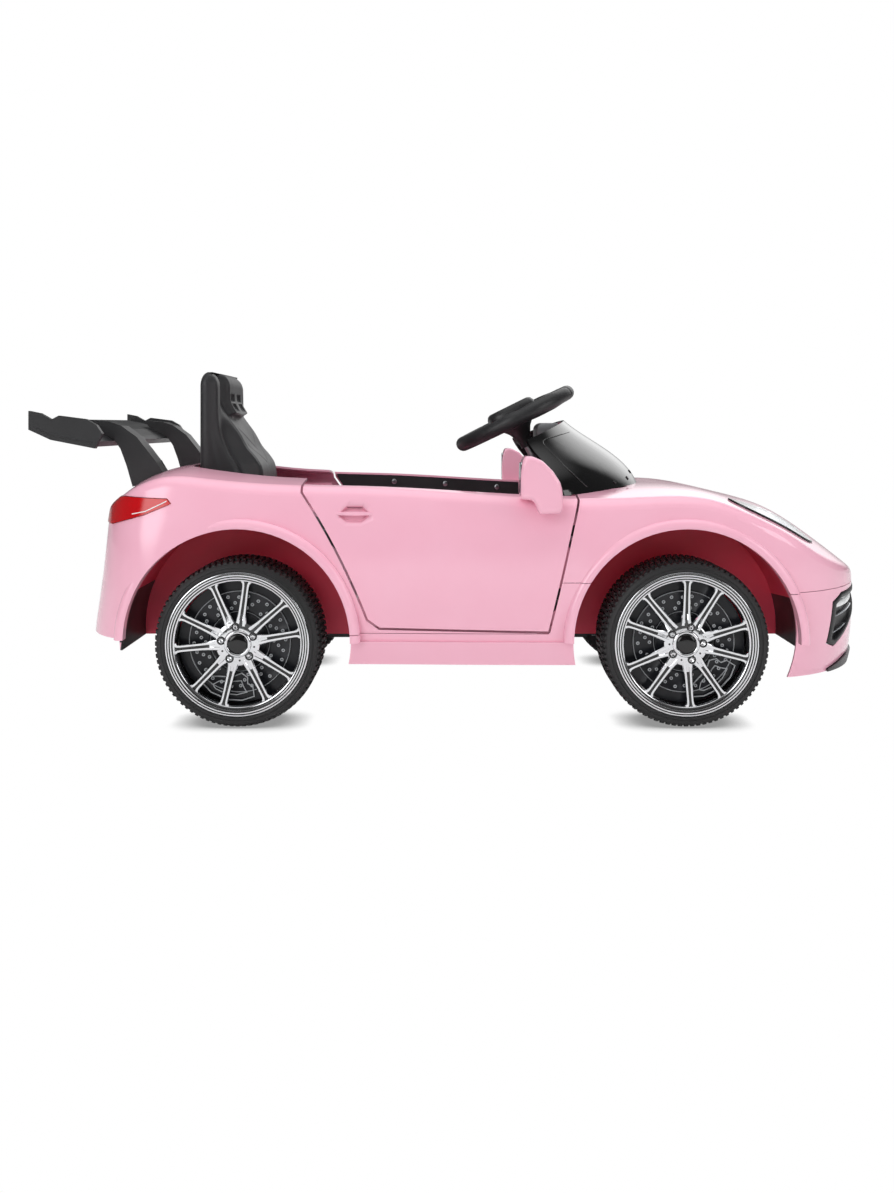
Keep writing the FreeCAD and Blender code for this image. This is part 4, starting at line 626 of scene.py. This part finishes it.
# Seat: one moulding with a raised headrest, side bolsters, belt slots and pressed seam lines, sizes in mm;
# middle, ridge and half give X of the middle and of the bolsters, and the half width, by height;
# a line is width and depth, an end or run is where something starts and where it is done
seat = {"rear": -363, "bottom": 193.5, "top": 460, "step": 2.0, "columns": 112, "thin": 3, "edgeRoll": (12, 6, 0.6),
        "topRound": 20, "topDraw": {"front": 18, "side": 16, "back": 9},
        "headrest": 14, "headrestEnd": (46, 55), "headrestFoot": (393, 401), "headrestLean": 0.08,
        "seam": 62, "seamWave": (6, 230, 70), "seamLine": (6, 2.2), "seamEnds": ((222, 234), (392, 400)),
        "bolster": (4, 24), "chevron": 352, "chevronGap": 22, "chevronRise": 0.55, "chevronLine": (5, 1.6),
        "chevronEnd": (50, 56), "lowLine": 262, "lowBow": 18, "bowHalf": 60, "bowLine": (6, 1.8), "bowEnd": (52, 58),
        "middle": [(215, -262), (231, -278), (260, -280), (309, -282), (328, -285), (341, -293), (354, -304),
                   (375, -316), (394, -330), (411, -342), (424, -347), (460, -347)],
        "ridge": [(215, -262), (240, -272), (280, -296), (306, -308), (330, -319), (348, -330), (379, -341),
                  (440, -344), (460, -344)],
        "half": [(193, 97), (258, 97), (272, 108), (290, 112), (460, 112)],
        "slotRows": (412, 425), "slotColumns": (14, 25, 36), "slotDepth": 8, "slotEnds": ((3.2, 4.2), (4, 5))}
cushion = {"rear": -288, "front": -150, "half": 97, "columns": 97, "low": 193.4, "top": 216, "rise": 5,
           "riseRun": (-240, -165), "frontDrop": 14, "frontRun": 16, "edge": (9, 196), "seam": 60,
           "bolster": [(-288, 50), (-271, 46), (-225, 28), (-180, 16), (-150, 4)], "bolsterRun": (58, 80),
           "lines": (-250, -220, -190), "lineBow": 6}


def bowed(distance, across, bow):
    # depth of a pressed line that bows in the middle and ends before the seam
    line = groove(distance - bow * (1 - (across / seat["bowHalf"]) ** 2), *seat["bowLine"])
    return line * (1 - smooth(across, *seat["bowEnd"]))


def seatFront(y, z):
    # X of the front surface of the backrest
    across = abs(y)
    wave, waveStart, waveLength = seat["seamWave"]
    seam = seat["seam"] + wave * math.sin((z - waveStart) / waveLength)
    lift, run = seat["bolster"]
    x = along(seat["middle"], z)
    x += (along(seat["ridge"], z) + lift - x) * smooth(across, seam, seam + run)
    foot = [level + seat["headrestLean"] * across for level in seat["headrestFoot"]]
    x += seat["headrest"] * (1 - smooth(across, *seat["headrestEnd"])) * smooth(z, *foot)
    low, high = seat["seamEnds"]
    x -= groove(across - seam, *seat["seamLine"]) * smooth(z, *low) * (1 - smooth(z, *high))
    chevron = seat["chevron"] + seat["chevronRise"] * across
    for drop in (0, seat["chevronGap"]):
        x -= groove(z - chevron + drop, *seat["chevronLine"]) * (1 - smooth(across, *seat["chevronEnd"]))
    x -= bowed(z - seat["lowLine"], across, seat["lowBow"])
    wide, tall = seat["slotEnds"]
    for row in seat["slotRows"]:
        for column in seat["slotColumns"]:
            x -= seat["slotDepth"] * (1 - smooth(abs(across - column), *wide)) * (1 - smooth(abs(z - row), *tall))
    return x


def seatMesh():
    sections = []
    draw = seat["topDraw"]
    roll, rollBack, rollShare = seat["edgeRoll"]
    for i in range(int((seat["top"] - 0.5 - seat["bottom"]) / seat["step"]) + 1):
        z = seat["bottom"] + i * seat["step"]
        # the top is rounded over on all sides
        rise = max(z - seat["top"] + seat["topRound"], 0) / seat["topRound"]
        inward = 1 - math.sqrt(1 - min(rise, 1) ** 2)
        half = along(seat["half"], z) - draw["side"] * inward
        back = seat["rear"] + draw["back"] * inward
        ring = []
        for j in range(seat["columns"] + 1):
            y = -half + 2 * half * j / seat["columns"]
            x = max(seatFront(y, max(z, seat["middle"][0][0])) - draw["front"] * inward, back + seat["thin"])
            # the outer edge rolls back into the side
            x += (back + rollBack - x) * rollShare * smooth(abs(y), half - roll, half) ** 2
            ring.append(atMm(x, y, z))
        # flat back with rounded corners
        for y in (half, half - 1.5, half - 5, half * 0.6, 0, -half * 0.6, -half + 5, -half + 1.5, -half):
            x = back + 8 if abs(y) == half else back + 2.5 if abs(y) == half - 1.5 else back
            ring.append(atMm(x, y, z))
        sections.append(ring)
    return skinned("seatBack", seatPp, 60, sections)


def cushionMesh():
    rear, front, half = cushion["rear"], cushion["front"], cushion["half"]
    edge, edgeLow = cushion["edge"]
    steps = int((front - rear) / seat["step"])
    sections = []
    for i in range(steps + 1):
        x = rear + (front - rear) * i / steps
        drop = cushion["frontDrop"] * smooth(x, front - cushion["frontRun"], front) ** 1.5
        bolster = along(cushion["bolster"], x)
        middle = cushion["top"] + cushion["rise"] * smooth(x, *cushion["riseRun"]) - drop
        ring = []
        for j in range(cushion["columns"] + 1):
            y = -half + 2 * half * j / cushion["columns"]
            across = abs(y)
            z = middle + bolster * smooth(across, *cushion["bolsterRun"])
            z -= (z - edgeLow) * 0.5 * smooth(across, half - edge, half) ** 2
            z -= groove(across - cushion["seam"], *seat["seamLine"])
            for line in cushion["lines"]:
                z -= bowed(x - line, across, cushion["lineBow"])
            ring.append(atMm(x, y, z))
        sections.append(ring + [atMm(x, y, cushion["low"]) for y in (half, 0, -half)])
    return skinned("seatCushion", seatPp, 60, sections)


show("seat.moulding", joinMeshes("seat", seatMesh(), cushionMesh()), "chassis", "seat_black", "seat")
print("seat made")

# Steering wheel: round grip with thumb swells and parting lines, three spokes, boss behind the hub, and a raised
# cushion round the hub pad, open in the middle for the buttons; sizes in mm, arms as reach, half width, top and low
steering = {"hub": (73.2, 0, 403.6), "lean": 26.4, "radius": 86, "flat": 84, "corner": 26, "grip": 10.3, "depth": -9,
            "round": 18, "gripSteps": (90, 24, 16), "swells": ((62, 1.4, 8, 26), (98, 0.9, 4, 10)),
            "partings": (24, 122), "partingLine": (2.4, 1.1), "armEnds": (((0, 1), 82), ((0, -1), 82), ((-1, 0), 80)),
            "arm": ((18, 13, -9.4, -17.5), (30, 12, -9.4, -17), (44, 8.4, -8.6, -15), (62, 8, -8, -13.5)),
            "armTip": (10, -7.5, -12), "padHalf": (36, 40),
            "pad": ((0, -14), (-2, -6), (-1, 4), (2, 9), (6, 11), (9, 9), (10, 3), (10, -8))}
wheelPlace = (Matrix.Translation(Vector(steering["hub"]) * mm)
              @ Matrix.Rotation(math.radians(-steering["lean"]), 4, "Y"))


def gripLine():
    # places and outward directions round the grip, starting at its front
    radius, flat, corner = steering["radius"], steering["flat"], steering["corner"]
    cx = -(flat - corner)
    cy = math.sqrt((radius - corner) ** 2 - cx ** 2)
    turn = math.atan2(cy, cx)
    spots = []
    bowSteps, cornerSteps, flatSteps = steering["gripSteps"]
    for i in range(bowSteps):
        a = turn * i / bowSteps
        spots.append((Vector((radius * math.cos(a), radius * math.sin(a))), Vector((math.cos(a), math.sin(a)))))
    for i in range(cornerSteps):
        a = turn + (math.pi - turn) * i / cornerSteps
        way = Vector((math.cos(a), math.sin(a)))
        spots.append((Vector((cx, cy)) + corner * way, way))
    for i in range(flatSteps + 1):
        spots.append((Vector((-flat, cy * (1 - i / flatSteps))), Vector((-1, 0))))
    return spots + [(Vector((p.x, -p.y)), Vector((w.x, -w.y))) for p, w in reversed(spots[1:-1])]


def steeringMesh():
    sections = []
    for place, way in gripLine():
        angle = abs(math.degrees(math.atan2(place.y, place.x)))
        radius = steering["grip"] + sum(high * (1 - smooth(abs(angle - top), near, far))
                                        for top, high, near, far in steering["swells"])
        for parting in steering["partings"]:
            radius -= groove(angle - parting, *steering["partingLine"])
        ring = []
        for a in turns(steering["round"]):
            out = radius * math.cos(a)
            z = steering["depth"] + radius * math.sin(a)
            ring.append(atMm(place.x + way.x * out, place.y + way.y * out, z))
        sections.append(ring)
    grip = skinned("grip", satinBlackPp, 60, sections + [sections[0]], caps=False)
    arms = []
    for (wx, wy), reach in steering["armEnds"]:
        rows = []
        for r, half, top, low in steering["arm"] + ((reach,) + steering["armTip"],):
            cross = ((-half, (top + low) / 2), (-half + 1.6, top), (-half * 0.5, top), (-half * 0.35, top - 1.6),
                     (half * 0.35, top - 1.6), (half * 0.5, top), (half - 1.6, top), (half, (top + low) / 2),
                     (half - 2, low), (-half + 2, low))
            rows.append([atMm(wx * r - wy * t, wy * r + wx * t, z) for t, z in cross])
        arms.append(rows)
    boss = turned("wheelBoss", satinBlackPp, 30, 40, [
        (6.2, -9.2), (28, -9.2), (30, -11), (30, -16), (27, -18.5), (22.5, -22), (17, -28), (13, -36), (10.4, -44),
        (10, -54), (6.2, -54)], upright=True)
    return joinMeshes("steering", grip, skinned("wheelArms", satinBlackPp, 30, *arms), boss)


def padFrameMesh():
    sections = []
    for a in turns(48):
        shape = 1 / (abs(math.cos(a)) ** 4 + abs(math.sin(a)) ** 4) ** 0.25
        way = Vector((math.cos(a), math.sin(a)))
        ring = []
        for inward, z in steering["pad"]:
            spot = Vector([w * (half * shape - inward) for w, half in zip(way, steering["padHalf"])])
            ring.append(atMm(spot.x, spot.y, z))
        sections.append(ring)
    return skinned("padFrame", satinBlackPp, 40, sections + [sections[0]], caps=False)


for name, mesh, replaced in (("pad", padFrameMesh(), ()), ("wheel", steeringMesh(), ("steering_wheel",))):
    mesh.transform(wheelPlace)
    show("steering." + name, mesh, "steering", "black_plastic", *replaced)
print("steering wheel made")

# Places on the CAD surfaces, found along a line of sight of the photograph or along a given way
view = {"camera": (-0.022, -1.739, 0.386), "focalPx": 1180, "middlePx": 447, "horizonPx": 425, "heightPx": 1193}


def surfaceOf(*names):
    bm = solids(*names)
    surface = BVHTree.FromBMesh(bm)
    bm.free()
    return surface


def onto(surface, start, way):
    place, normal, index, distance = surface.ray_cast(Vector(start), Vector(way).normalized())
    if place is not None and normal.dot(Vector(way)) > 0:
        normal = -normal
    return place, normal


def traced(surface, pixels, step=3):
    # places on a surface under a line drawn in the photograph
    found = []
    for (ax, ay), (bx, by) in zip(pixels, pixels[1:]):
        count = max(int(math.hypot(bx - ax, by - ay) / step), 1)
        for i in range(count + 1):
            px, py = ax + (bx - ax) * i / count, ay + (by - ay) * i / count
            way = ((px - view["middlePx"]) / view["focalPx"], 1, (view["horizonPx"] - py) / view["focalPx"])
            place, normal = onto(surface, view["camera"], way)
            if place is not None and (not found or (place - found[-1][0]).length > 0.5 * mm):
                found.append((place, normal))
    return found


def tube(points, radius, sides=8):
    # sections along a line
    rows = []
    for i, point in enumerate(points):
        ahead = (points[min(i + 1, len(points) - 1)] - points[max(i - 1, 0)]).normalized()
        across = ahead.cross(Vector((0, 0, 1)) if abs(ahead.z) < 0.9 else Vector((1, 0, 0))).normalized()
        lift = across.cross(ahead)
        rows.append([point + (across * math.cos(t) + lift * math.sin(t)) * radius * mm for t in turns(sides)])
    return rows


def lineOn(name, material, surface, pixels, radius):
    return skinned(name, material, 60, tube([place for place, normal in traced(surface, pixels)], radius))


def inset(points, distance):
    area = sum(a[0] * b[1] - b[0] * a[1] for a, b in zip(points, points[1:] + points[:1]))
    return moved(points, distance if area > 0 else -distance, 0.35)


def between(a, b, count):
    # places from a up to b, without b
    return [Vector(a).lerp(Vector(b), i / count) for i in range(count)]


def resample(points, perEdge):
    return [spot for a, b in zip(points, points[1:] + points[:1]) for spot in between(a, b, perEdge)]


# Door handle: a pocket pressed into the skin, a bar across it; outlines of X and Z in mm, walls as draw and depth,
# the points round the bar as depth in mm and share of its half height
handle = {"pocket": [(-161, 272), (-151, 282), (-130, 282), (-121, 273), (-122, 268), (-131, 261), (-150, 261),
                     (-160, 268)],
          "cut": (200, 270), "walls": ((-0.4, 0.8), (0.2, 1.2), (0.8, 3), (1.6, 6.5), (3, 9)),
          "barLow": 270, "barHigh": 275.4, "barEnds": (-164, -117), "barProud": 2.2, "barSteps": 14,
          "barRound": ((0, -0.55), (0, 0.55), (0.5, 0.9), (1.6, 1), (3, 1), (3, -1), (1.6, -1), (0.5, -0.9))}
barMiddle, barHalf = (handle["barLow"] + handle["barHigh"]) / 2, (handle["barHigh"] - handle["barLow"]) / 2
for hand, side in hands:
    skinNode = "door_skin_" + hand
    skin = surfaceOf(skinNode)

    def skinAt(x, z):
        return onto(skin, (x * mm, side * 0.5, z * mm), (0, -side, 0))[0].y / mm

    prism = [[atMm(x, side * y, z) for x, z in handle["pocket"]] for y in handle["cut"]]
    cutter = inScene("handleCutter", skinned("handleCutter", pinkAbs, 40, prism))
    whole = inScene("doorSkin", toMesh("doorSkin", solids(skinNode), pinkAbs, 30))
    pocket = whole.modifiers.new("pocket", "BOOLEAN")
    pocket.operation, pocket.solver, pocket.object = "DIFFERENCE", "EXACT", cutter
    opened = settled(whole)
    bpy.data.objects.remove(cutter)
    opened.materials.clear()
    opened.materials.append(pinkAbs)
    opened.polygons.foreach_set("material_index", [0] * len(opened.polygons))
    tray = bmesh.new()
    rows = []
    for draw, depth in handle["walls"]:
        ring = resample(inset(handle["pocket"], draw), 4)
        rows.append([atMm(p.x, skinAt(p.x, p.y) - side * depth, p.y) for p in ring])
    tray.faces.new(loft(tray, rows, caps=False)[-1])
    bar = []
    for i in range(handle["barSteps"] + 1):
        share = i / handle["barSteps"]
        x = handle["barEnds"][0] + (handle["barEnds"][1] - handle["barEnds"][0]) * i / handle["barSteps"]
        swell = math.sin(math.pi * min(max(share, 0.02), 0.98)) ** 0.5
        half = barHalf * (0.55 + 0.45 * swell)
        out = skinAt(x, barMiddle) + side * handle["barProud"] * swell
        bar.append([atMm(x, out - side * depth, barMiddle + half * rise) for depth, rise in handle["barRound"]])
    loft(tray, bar)
    show("door.skin." + hand, joinMeshes("doorSkin", opened, toMesh("doorPocket", tray, pinkAbs)),
         "door_" + hand, "pink_body", skinNode)
print("door handles made")

# Mirror plates in the housings' rear faces, sizes in mm; sections as X from the face and draw
plate = {"x": 71.2, "across": (234, 263), "height": (299, 339), "sections": ((0.7, 0), (-0.6, 0), (-1.2, 0.8))}
middleY, middleZ = sum(plate["across"]) / 2, sum(plate["height"]) / 2
halfY, halfZ = (plate["across"][1] - plate["across"][0]) / 2, (plate["height"][1] - plate["height"][0]) / 2
for hand, side in hands:
    rows = []
    for shift, draw in plate["sections"]:
        ring = []
        for a in turns(48):
            c, s = (math.copysign(abs(v) ** 0.3, v) for v in (math.cos(a), math.sin(a)))
            y, z = middleY + c * (halfY - draw), middleZ + s * (halfZ - draw)
            ring.append(atMm(plate["x"] + shift, side * y, z))
        rows.append(ring)
    show("mirror.plate." + hand, skinned("mirrorPlate", silverFilm, 30, rows), "door_" + hand, "reflector")

# Cowl: pressed frame line along its rear edge and small clips where it meets the hood
cowl = {"line": [(569, 432), (555, 436.5), (546, 439), (543, 441), (543.5, 444.5), (552, 453.5), (569.5, 471),
                 (587, 487)],
        "radius": 0.8, "clips": [(614.5, 482.5), (627, 478), (629.5, 471.5)], "clipHalf": (2.6, 1.6)}
cowlSurface = surfaceOf("windscreen_cowl")
frameLine = lineOn("cowlLine", glossBlackAbs, cowlSurface, cowl["line"], cowl["radius"])
clipX, clipY = cowl["clipHalf"]
clip = [[atMm(x * clipX * s, y * clipY * s, z) for x, y in ((-1, -1), (1, -1), (1, 1), (-1, 1))]
        for z, s in ((-0.6, 1), (0.8, 1), (1.3, 0.75))]
clipLines = [traced(cowlSurface, [(px, py), (px + 0.5, py)]) for px, py in cowl["clips"]]
clips = placedOn("cowlClips", skinned("cowlClip", satinBlackPp, 30, clip), [found[0] for found in clipLines if found])
showBoth("cowl.details", "gloss_black", [frameLine, clips])
print("cowl details made")

# Screws of the door liners, places of X and Z in mm
screw = {"head": 4.2, "spots": ((-109, 293), (-25, 289.5), (60, 284)), "linerY": 206.9, "slot": (2.2, 0.45, 1.2, 1.95)}


def screwMesh():
    # pan head with a cross recess, standing on its own XY plane
    bm = bmesh.new()
    head = screw["head"]
    lathe(bm, [(0, 0), (head, 0), (head, 0.5), (head * 0.82, 1.3), (head * 0.5, 1.7), (0, 1.8)], 20)
    rotate(bm, 90, "X")
    halfLong, halfWide, low, high = screw["slot"]
    for angle in (0, 90):
        slot = bmesh.new()
        boxMesh(slot, (-halfLong, -halfWide, low), (halfLong, halfWide, high))
        rotate(slot, angle, "Z")
        pour(slot, bm)
    return toMesh("screw", bm, zincSteel)


for hand, side in hands:
    spots = [(atMm(x, side * screw["linerY"], z), Vector((0, -side, 0))) for x, z in screw["spots"]]
    show("liner.screws." + hand, placedOn("linerScrews", screwMesh(), spots), "door_" + hand, "steel")

# Lines on struts, wing and tail lights, drawn in the photograph, with their radius in mm
lines = {"strut": ([(127, 424), (142.5, 434.5), (152, 444), (159.5, 457.5), (164.5, 466)], 0.9),
         "wing": ([(36, 428), (50, 435), (92, 443)], 0.7),
         "tail": ([(132, 514), (145, 511.5), (160, 504.5), (170, 499.5)], 0.7)}
strutLine = lineOn("strutLine", glossBlackAbs, surfaceOf("wing_struts"), *lines["strut"])
wingLine = lineOn("wingLine", satinBlackPp, surfaceOf("rear_wing"), *lines["wing"])
showBoth("wing.lines", "black_plastic", [strutLine, wingLine])
showBoth("tail.lines", "red_lens", [lineOn("tailLine", milkyPc, surfaceOf("tail_lights"), *lines["tail"])])
print("lines and screws made")

# Vents: a raised bezel round a pocket, two light bars across its top and two slats below; outline of Y and Z in mm
vent = {"outline": [(-191.6, 100), (-178, 94.4), (-133.5, 120.4), (-62.4, 144.4), (-51, 167.6), (-174, 163.6),
                    (-191.6, 153.6)],
        "inward": (-0.75, 0.66, 0), "frame": 7, "pocket": 12,
        "bars": [((-183, 157.5), (-74, 159.5)), ((-184, 147.5), (-84, 150.5))], "barHalf": 3.6, "barDepth": 2.5,
        "barRound": ((0, -0.5), (0, 0.5), (0.8, 0.9), (2, 1), (6, 1), (6, -1), (2, -1), (0.8, -0.9)),
        "slats": [((-185, 134), (-118, 141)), ((-185, 112), (-150, 119))], "slatDepth": 2, "edgeDepth": 1.6,
        "edgeRadius": 0.9}
ventSurface = surfaceOf("vent_bezels", "light_strips", "front_bumper")
ventInward = Vector(vent["inward"]).normalized()


def ventAt(spot, depth):
    place, normal = onto(ventSurface, (0.8, spot.x * mm, spot.y * mm), (-1, 0, 0))
    return place + ventInward * depth * mm


def across(ends, count):
    return between(*ends, count) + [Vector(ends[0]).lerp(Vector(ends[1]), 1)]


def barRows(ends, count=16):
    rows = []
    for i, p in enumerate(across(ends, count)):
        half = vent["barHalf"] * (0.6 if i in (0, count) else 1)
        rows.append([ventAt(p, vent["barDepth"]) + atMm(0, 0, half * rise) + ventInward * depth * mm
                     for depth, rise in vent["barRound"]])
    return rows


def slatRows(path):
    return [[ventAt(p, vent["slatDepth"]) + ventInward * depth * mm + atMm(0, 0, rise)
             for depth, rise in ((0, -1), (0, 1), (9, 3.5), (9, 1.5))] for p in path]


bezel = skinned("ventBezel", satinBlackPp, 40, [
    [ventAt(p, depth) for p in resample(inset(vent["outline"], draw), 12)]
    for draw, depth in ((0, 2.5), (0.2, -0.4), (1.4, -1.2), (vent["frame"] - 1.4, -1.2), (vent["frame"], -0.2),
                        (vent["frame"] + 0.6, vent["pocket"]))])
lightBars = skinned("lightBars", milkyPc, 40, *[barRows(ends) for ends in vent["bars"]])
paths = [across(ends, 12) for ends in vent["slats"]]
slats = skinned("ventSlats", satinBlackPp, 30, *[slatRows(path) for path in paths])
slatEdges = skinned("ventEdges", silverFilm, 60,
                    *[tube([ventAt(p, vent["edgeDepth"]) for p in path], vent["edgeRadius"]) for path in paths])
showBoth("vent.bezels", "gloss_black", [bezel, slats, slatEdges], "vent_bezels")
showBoth("vent.lights", "white_lamp", [lightBars], "light_strips")
print("vents made")

# Headlights: a silver bowl with two lamps under the clear lens, and a black edge on its outer side, sizes in mm;
# the bowl as share of the half sizes and depth, lamps as place and radius, the edge between two angles
head = {"centre": (407, -172), "half": (58, 34), "turn": 14, "underLens": 4.2, "lampDepth": 15,
        "bowl": [(0.985, 0.6), (0.93, 1.2), (0.9, 5), (0.72, 11), (0.4, 14)], "bowlSteps": 72,
        "lamps": [(-24, 11.5), (14, 13)], "edge": (165, 345), "edgeSteps": 60, "edgeShare": 0.985, "edgeRadius": 1.6}
# blue-tinted lamp glass: deep violet blue with a wet gloss
lampGlass = moulded("blue lamp glass", "#2C3166", "#4A52A0", (0.04, 0.08), 8, 0.05, {"IOR": 1.5, "Coat Weight": 0.8})
lensSurface = surfaceOf("headlight_lenses")
headTurn = math.radians(head["turn"])


def headAt(a, b):
    # place on the lens, a along its plan and b across, and the facing there
    x = head["centre"][0] + a * math.cos(headTurn) - b * math.sin(headTurn)
    y = head["centre"][1] + a * math.sin(headTurn) + b * math.cos(headTurn)
    return onto(lensSurface, (x * mm, y * mm, 0.6), (0, 0, -1))


def headRound(share, angle):
    return headAt(share * head["half"][0] * math.cos(angle), share * head["half"][1] * math.sin(angle))[0]


def lifted(row, height):
    return [p + atMm(0, 0, height) for p in row]


rows = [[headRound(share, angle) - atMm(0, 0, head["underLens"] + depth) for angle in turns(head["bowlSteps"])]
        for share, depth in head["bowl"]]
lampParts = [skinned("headBowl", silverFilm, 40, rows, caps=False),
             skinned("headBase", silverFilm, 40, [lifted(rows[-1], -2), rows[-1], lifted(rows[-1], 0.2)])]
for place, r in head["lamps"]:
    top, normal = headAt(place, 0)
    spot = (Matrix.Translation(top - atMm(0, 0, head["lampDepth"]))
            @ normal.to_track_quat("Z", "X").to_matrix().to_4x4())
    for material, profile in (
            (chromePlate, [(r - 3, 0), (r, 0), (r, 6), (r - 1, 7.4), (r - 2.4, 7), (r - 3, 5)]),
            (lampGlass, [(0, 1), (r - 3, 1), (r - 3, 5), (r - 5, 7.5), (r - 8, 9), (0, 9.6)])):
        mesh = turned("headLamp", material, 40, 40, profile, upright=True)
        mesh.transform(spot)
        lampParts.append(mesh)
showBoth("headlight.bowls", "reflector", lampParts, "headlight_housings")
edgePoints = []
for i in range(head["edgeSteps"] + 1):
    degrees = head["edge"][0] + (head["edge"][1] - head["edge"][0]) * i / head["edgeSteps"]
    edgePoints.append(headRound(head["edgeShare"], math.radians(degrees)))
edgeRows = tube([place for place in edgePoints if place is not None], head["edgeRadius"])
showBoth("headlight.edges", "gloss_black", [skinned("headEdge", glossBlackAbs, 60, edgeRows)])
print("headlights made")

# Studio: white floor and surroundings, soft boxes above and beside the camera, in metres;
# windows as way, cosines of edge and core, strength; boxes as place, aim, size, power, and whether it is mirrored
studio = {"ambient": 0.5, "dimBelow": 0.7, "brightAbove": 0.97, "dimRoom": 0.09, "ceiling": 1.0,
          "windows": [((-0.61, -0.72, 0.33), 0.93, 0.985, 3.5), ((0.36, 0.82, 0.44), 0.86, 0.99, 1.6)],
          "shadeReach": 0.04, "shade": 0.3, "floor": 30.0, "sensor": 24,
          "boxes": [("top box", (0.1, -0.3, 2.3), (0, 0, 0.1), 3.2, 1.8, 26, False),
                    ("camera side box", (-1.3, -2.9, 1.5), (0, 0, 0.2), 1.8, 1.4, 24, False),
                    ("nose side box", (2.6, -1.8, 1.3), (0.2, 0, 0.2), 1.2, 1.4, 14, True),
                    ("far side box", (-0.6, 2.8, 1.6), (0, 0, 0.2), 2.4, 1.2, 20, False)]}
cameraData = bpy.data.cameras.new("camera")
cameraData.sensor_fit = "VERTICAL"
cameraData.sensor_height = studio["sensor"]
cameraData.lens = studio["sensor"] * view["focalPx"] / view["heightPx"]
cameraData.shift_y = (view["horizonPx"] - view["heightPx"] / 2) / view["heightPx"]
cameraData.clip_start = 0.05
camera = inScene("camera", cameraData)
camera.location = view["camera"]
camera.rotation_euler = (math.pi / 2, 0, 0)
scene.camera = camera
for name, place, aim, wide, high, power, mirrored in studio["boxes"]:
    lampData = bpy.data.lights.new(name, "AREA")
    lampData.shape = "RECTANGLE"
    lampData.size, lampData.size_y, lampData.energy = wide, high, power
    lamp = inScene(name, lampData)
    lamp.location = place
    lamp.rotation_euler = (Vector(aim) - Vector(place)).to_track_quat("-Z", "Y").to_euler()
    lamp.visible_glossy = mirrored

world = bpy.data.worlds.new("studio")
scene.world = world
world.use_nodes = True
sky = world.node_tree
sky.nodes.clear()
rays = addNode(sky, "ShaderNodeLightPath").outputs
direct = addNode(sky, "ShaderNodeMath", {"operation": "ADD", "use_clamp": True},
                 {0: rays["Is Camera Ray"], 1: rays["Is Transmission Ray"]})
skyPlace = addNode(sky, "ShaderNodeTexCoord").outputs["Generated"]
skyward = addNode(sky, "ShaderNodeSeparateXYZ", None, {0: skyPlace})
# shiny surfaces see a dim room below a bright ceiling
shine = ranged(sky, skyward.outputs["Z"], studio["dimBelow"], studio["brightAbove"], studio["dimRoom"],
               studio["ceiling"], "SMOOTHSTEP")
# and soft-edged windows behind the camera and behind the car
for way, edge, core, strength in studio["windows"]:
    facing = addNode(sky, "ShaderNodeVectorMath", {"operation": "DOT_PRODUCT"},
                     {0: skyPlace, 1: Vector(way).normalized()})
    window = ranged(sky, facing.outputs["Value"], edge, core, 0.0, strength, "SMOOTHSTEP")
    shine = addNode(sky, "ShaderNodeMath", {"operation": "ADD"}, {0: shine, 1: window}).outputs[0]
indirect = ranged(sky, rays["Is Glossy Ray"], 0.0, 1.0, studio["ambient"], shine)
level = ranged(sky, direct.outputs[0], 0.0, 1.0, indirect, 1.0)
light = addNode(sky, "ShaderNodeBackground", None, {"Color": (1.0, 1.0, 1.0, 1.0), "Strength": level})
addNode(sky, "ShaderNodeOutputWorld", None, {"Surface": light.outputs[0]})

# matt white studio paper: even, with a faint fibre of 2 mm; seen straight on it glows white,
# but for a painted shadow close under the tyres, darkened by ambient occlusion
paper, paperTree, paperShader, paperPlace = startMaterial("white paper", {"Roughness": 0.9})
paperTint = mixed(paperTree, noise(paperTree, paperPlace, 2), "#EFEFEF", "#F4F4F4")
paperTree.links.new(paperTint, paperShader.inputs["Base Color"])
shade = addNode(paperTree, "ShaderNodeAmbientOcclusion", {"samples": 16}, {"Distance": studio["shadeReach"]})
# the painted shadow: the glow is dimmed where ambient occlusion finds the tyres close
bright = ranged(paperTree, shade.outputs["AO"], 0.25, 0.85, studio["shade"], 1.0)
glow = addNode(paperTree, "ShaderNodeEmission", None, {"Strength": bright})
paperRays = addNode(paperTree, "ShaderNodeLightPath")
blend = addNode(paperTree, "ShaderNodeMixShader", None,
                {0: paperRays.outputs["Is Camera Ray"], 1: paperShader.outputs["BSDF"], 2: glow.outputs["Emission"]})
paperTree.links.new(blend.outputs[0], paperTree.nodes["Material Output"].inputs["Surface"])
floorMesh = bpy.data.meshes.new("floor")
reach = studio["floor"]
floorMesh.from_pydata([(-reach, -reach, 0), (reach, -reach, 0), (reach, reach, 0), (-reach, reach, 0)], [],
                      [(0, 1, 2, 3)])
floorMesh.materials.append(paper)
inScene("floor", floorMesh)
scene.view_settings.view_transform = "Standard"
print("studio set")
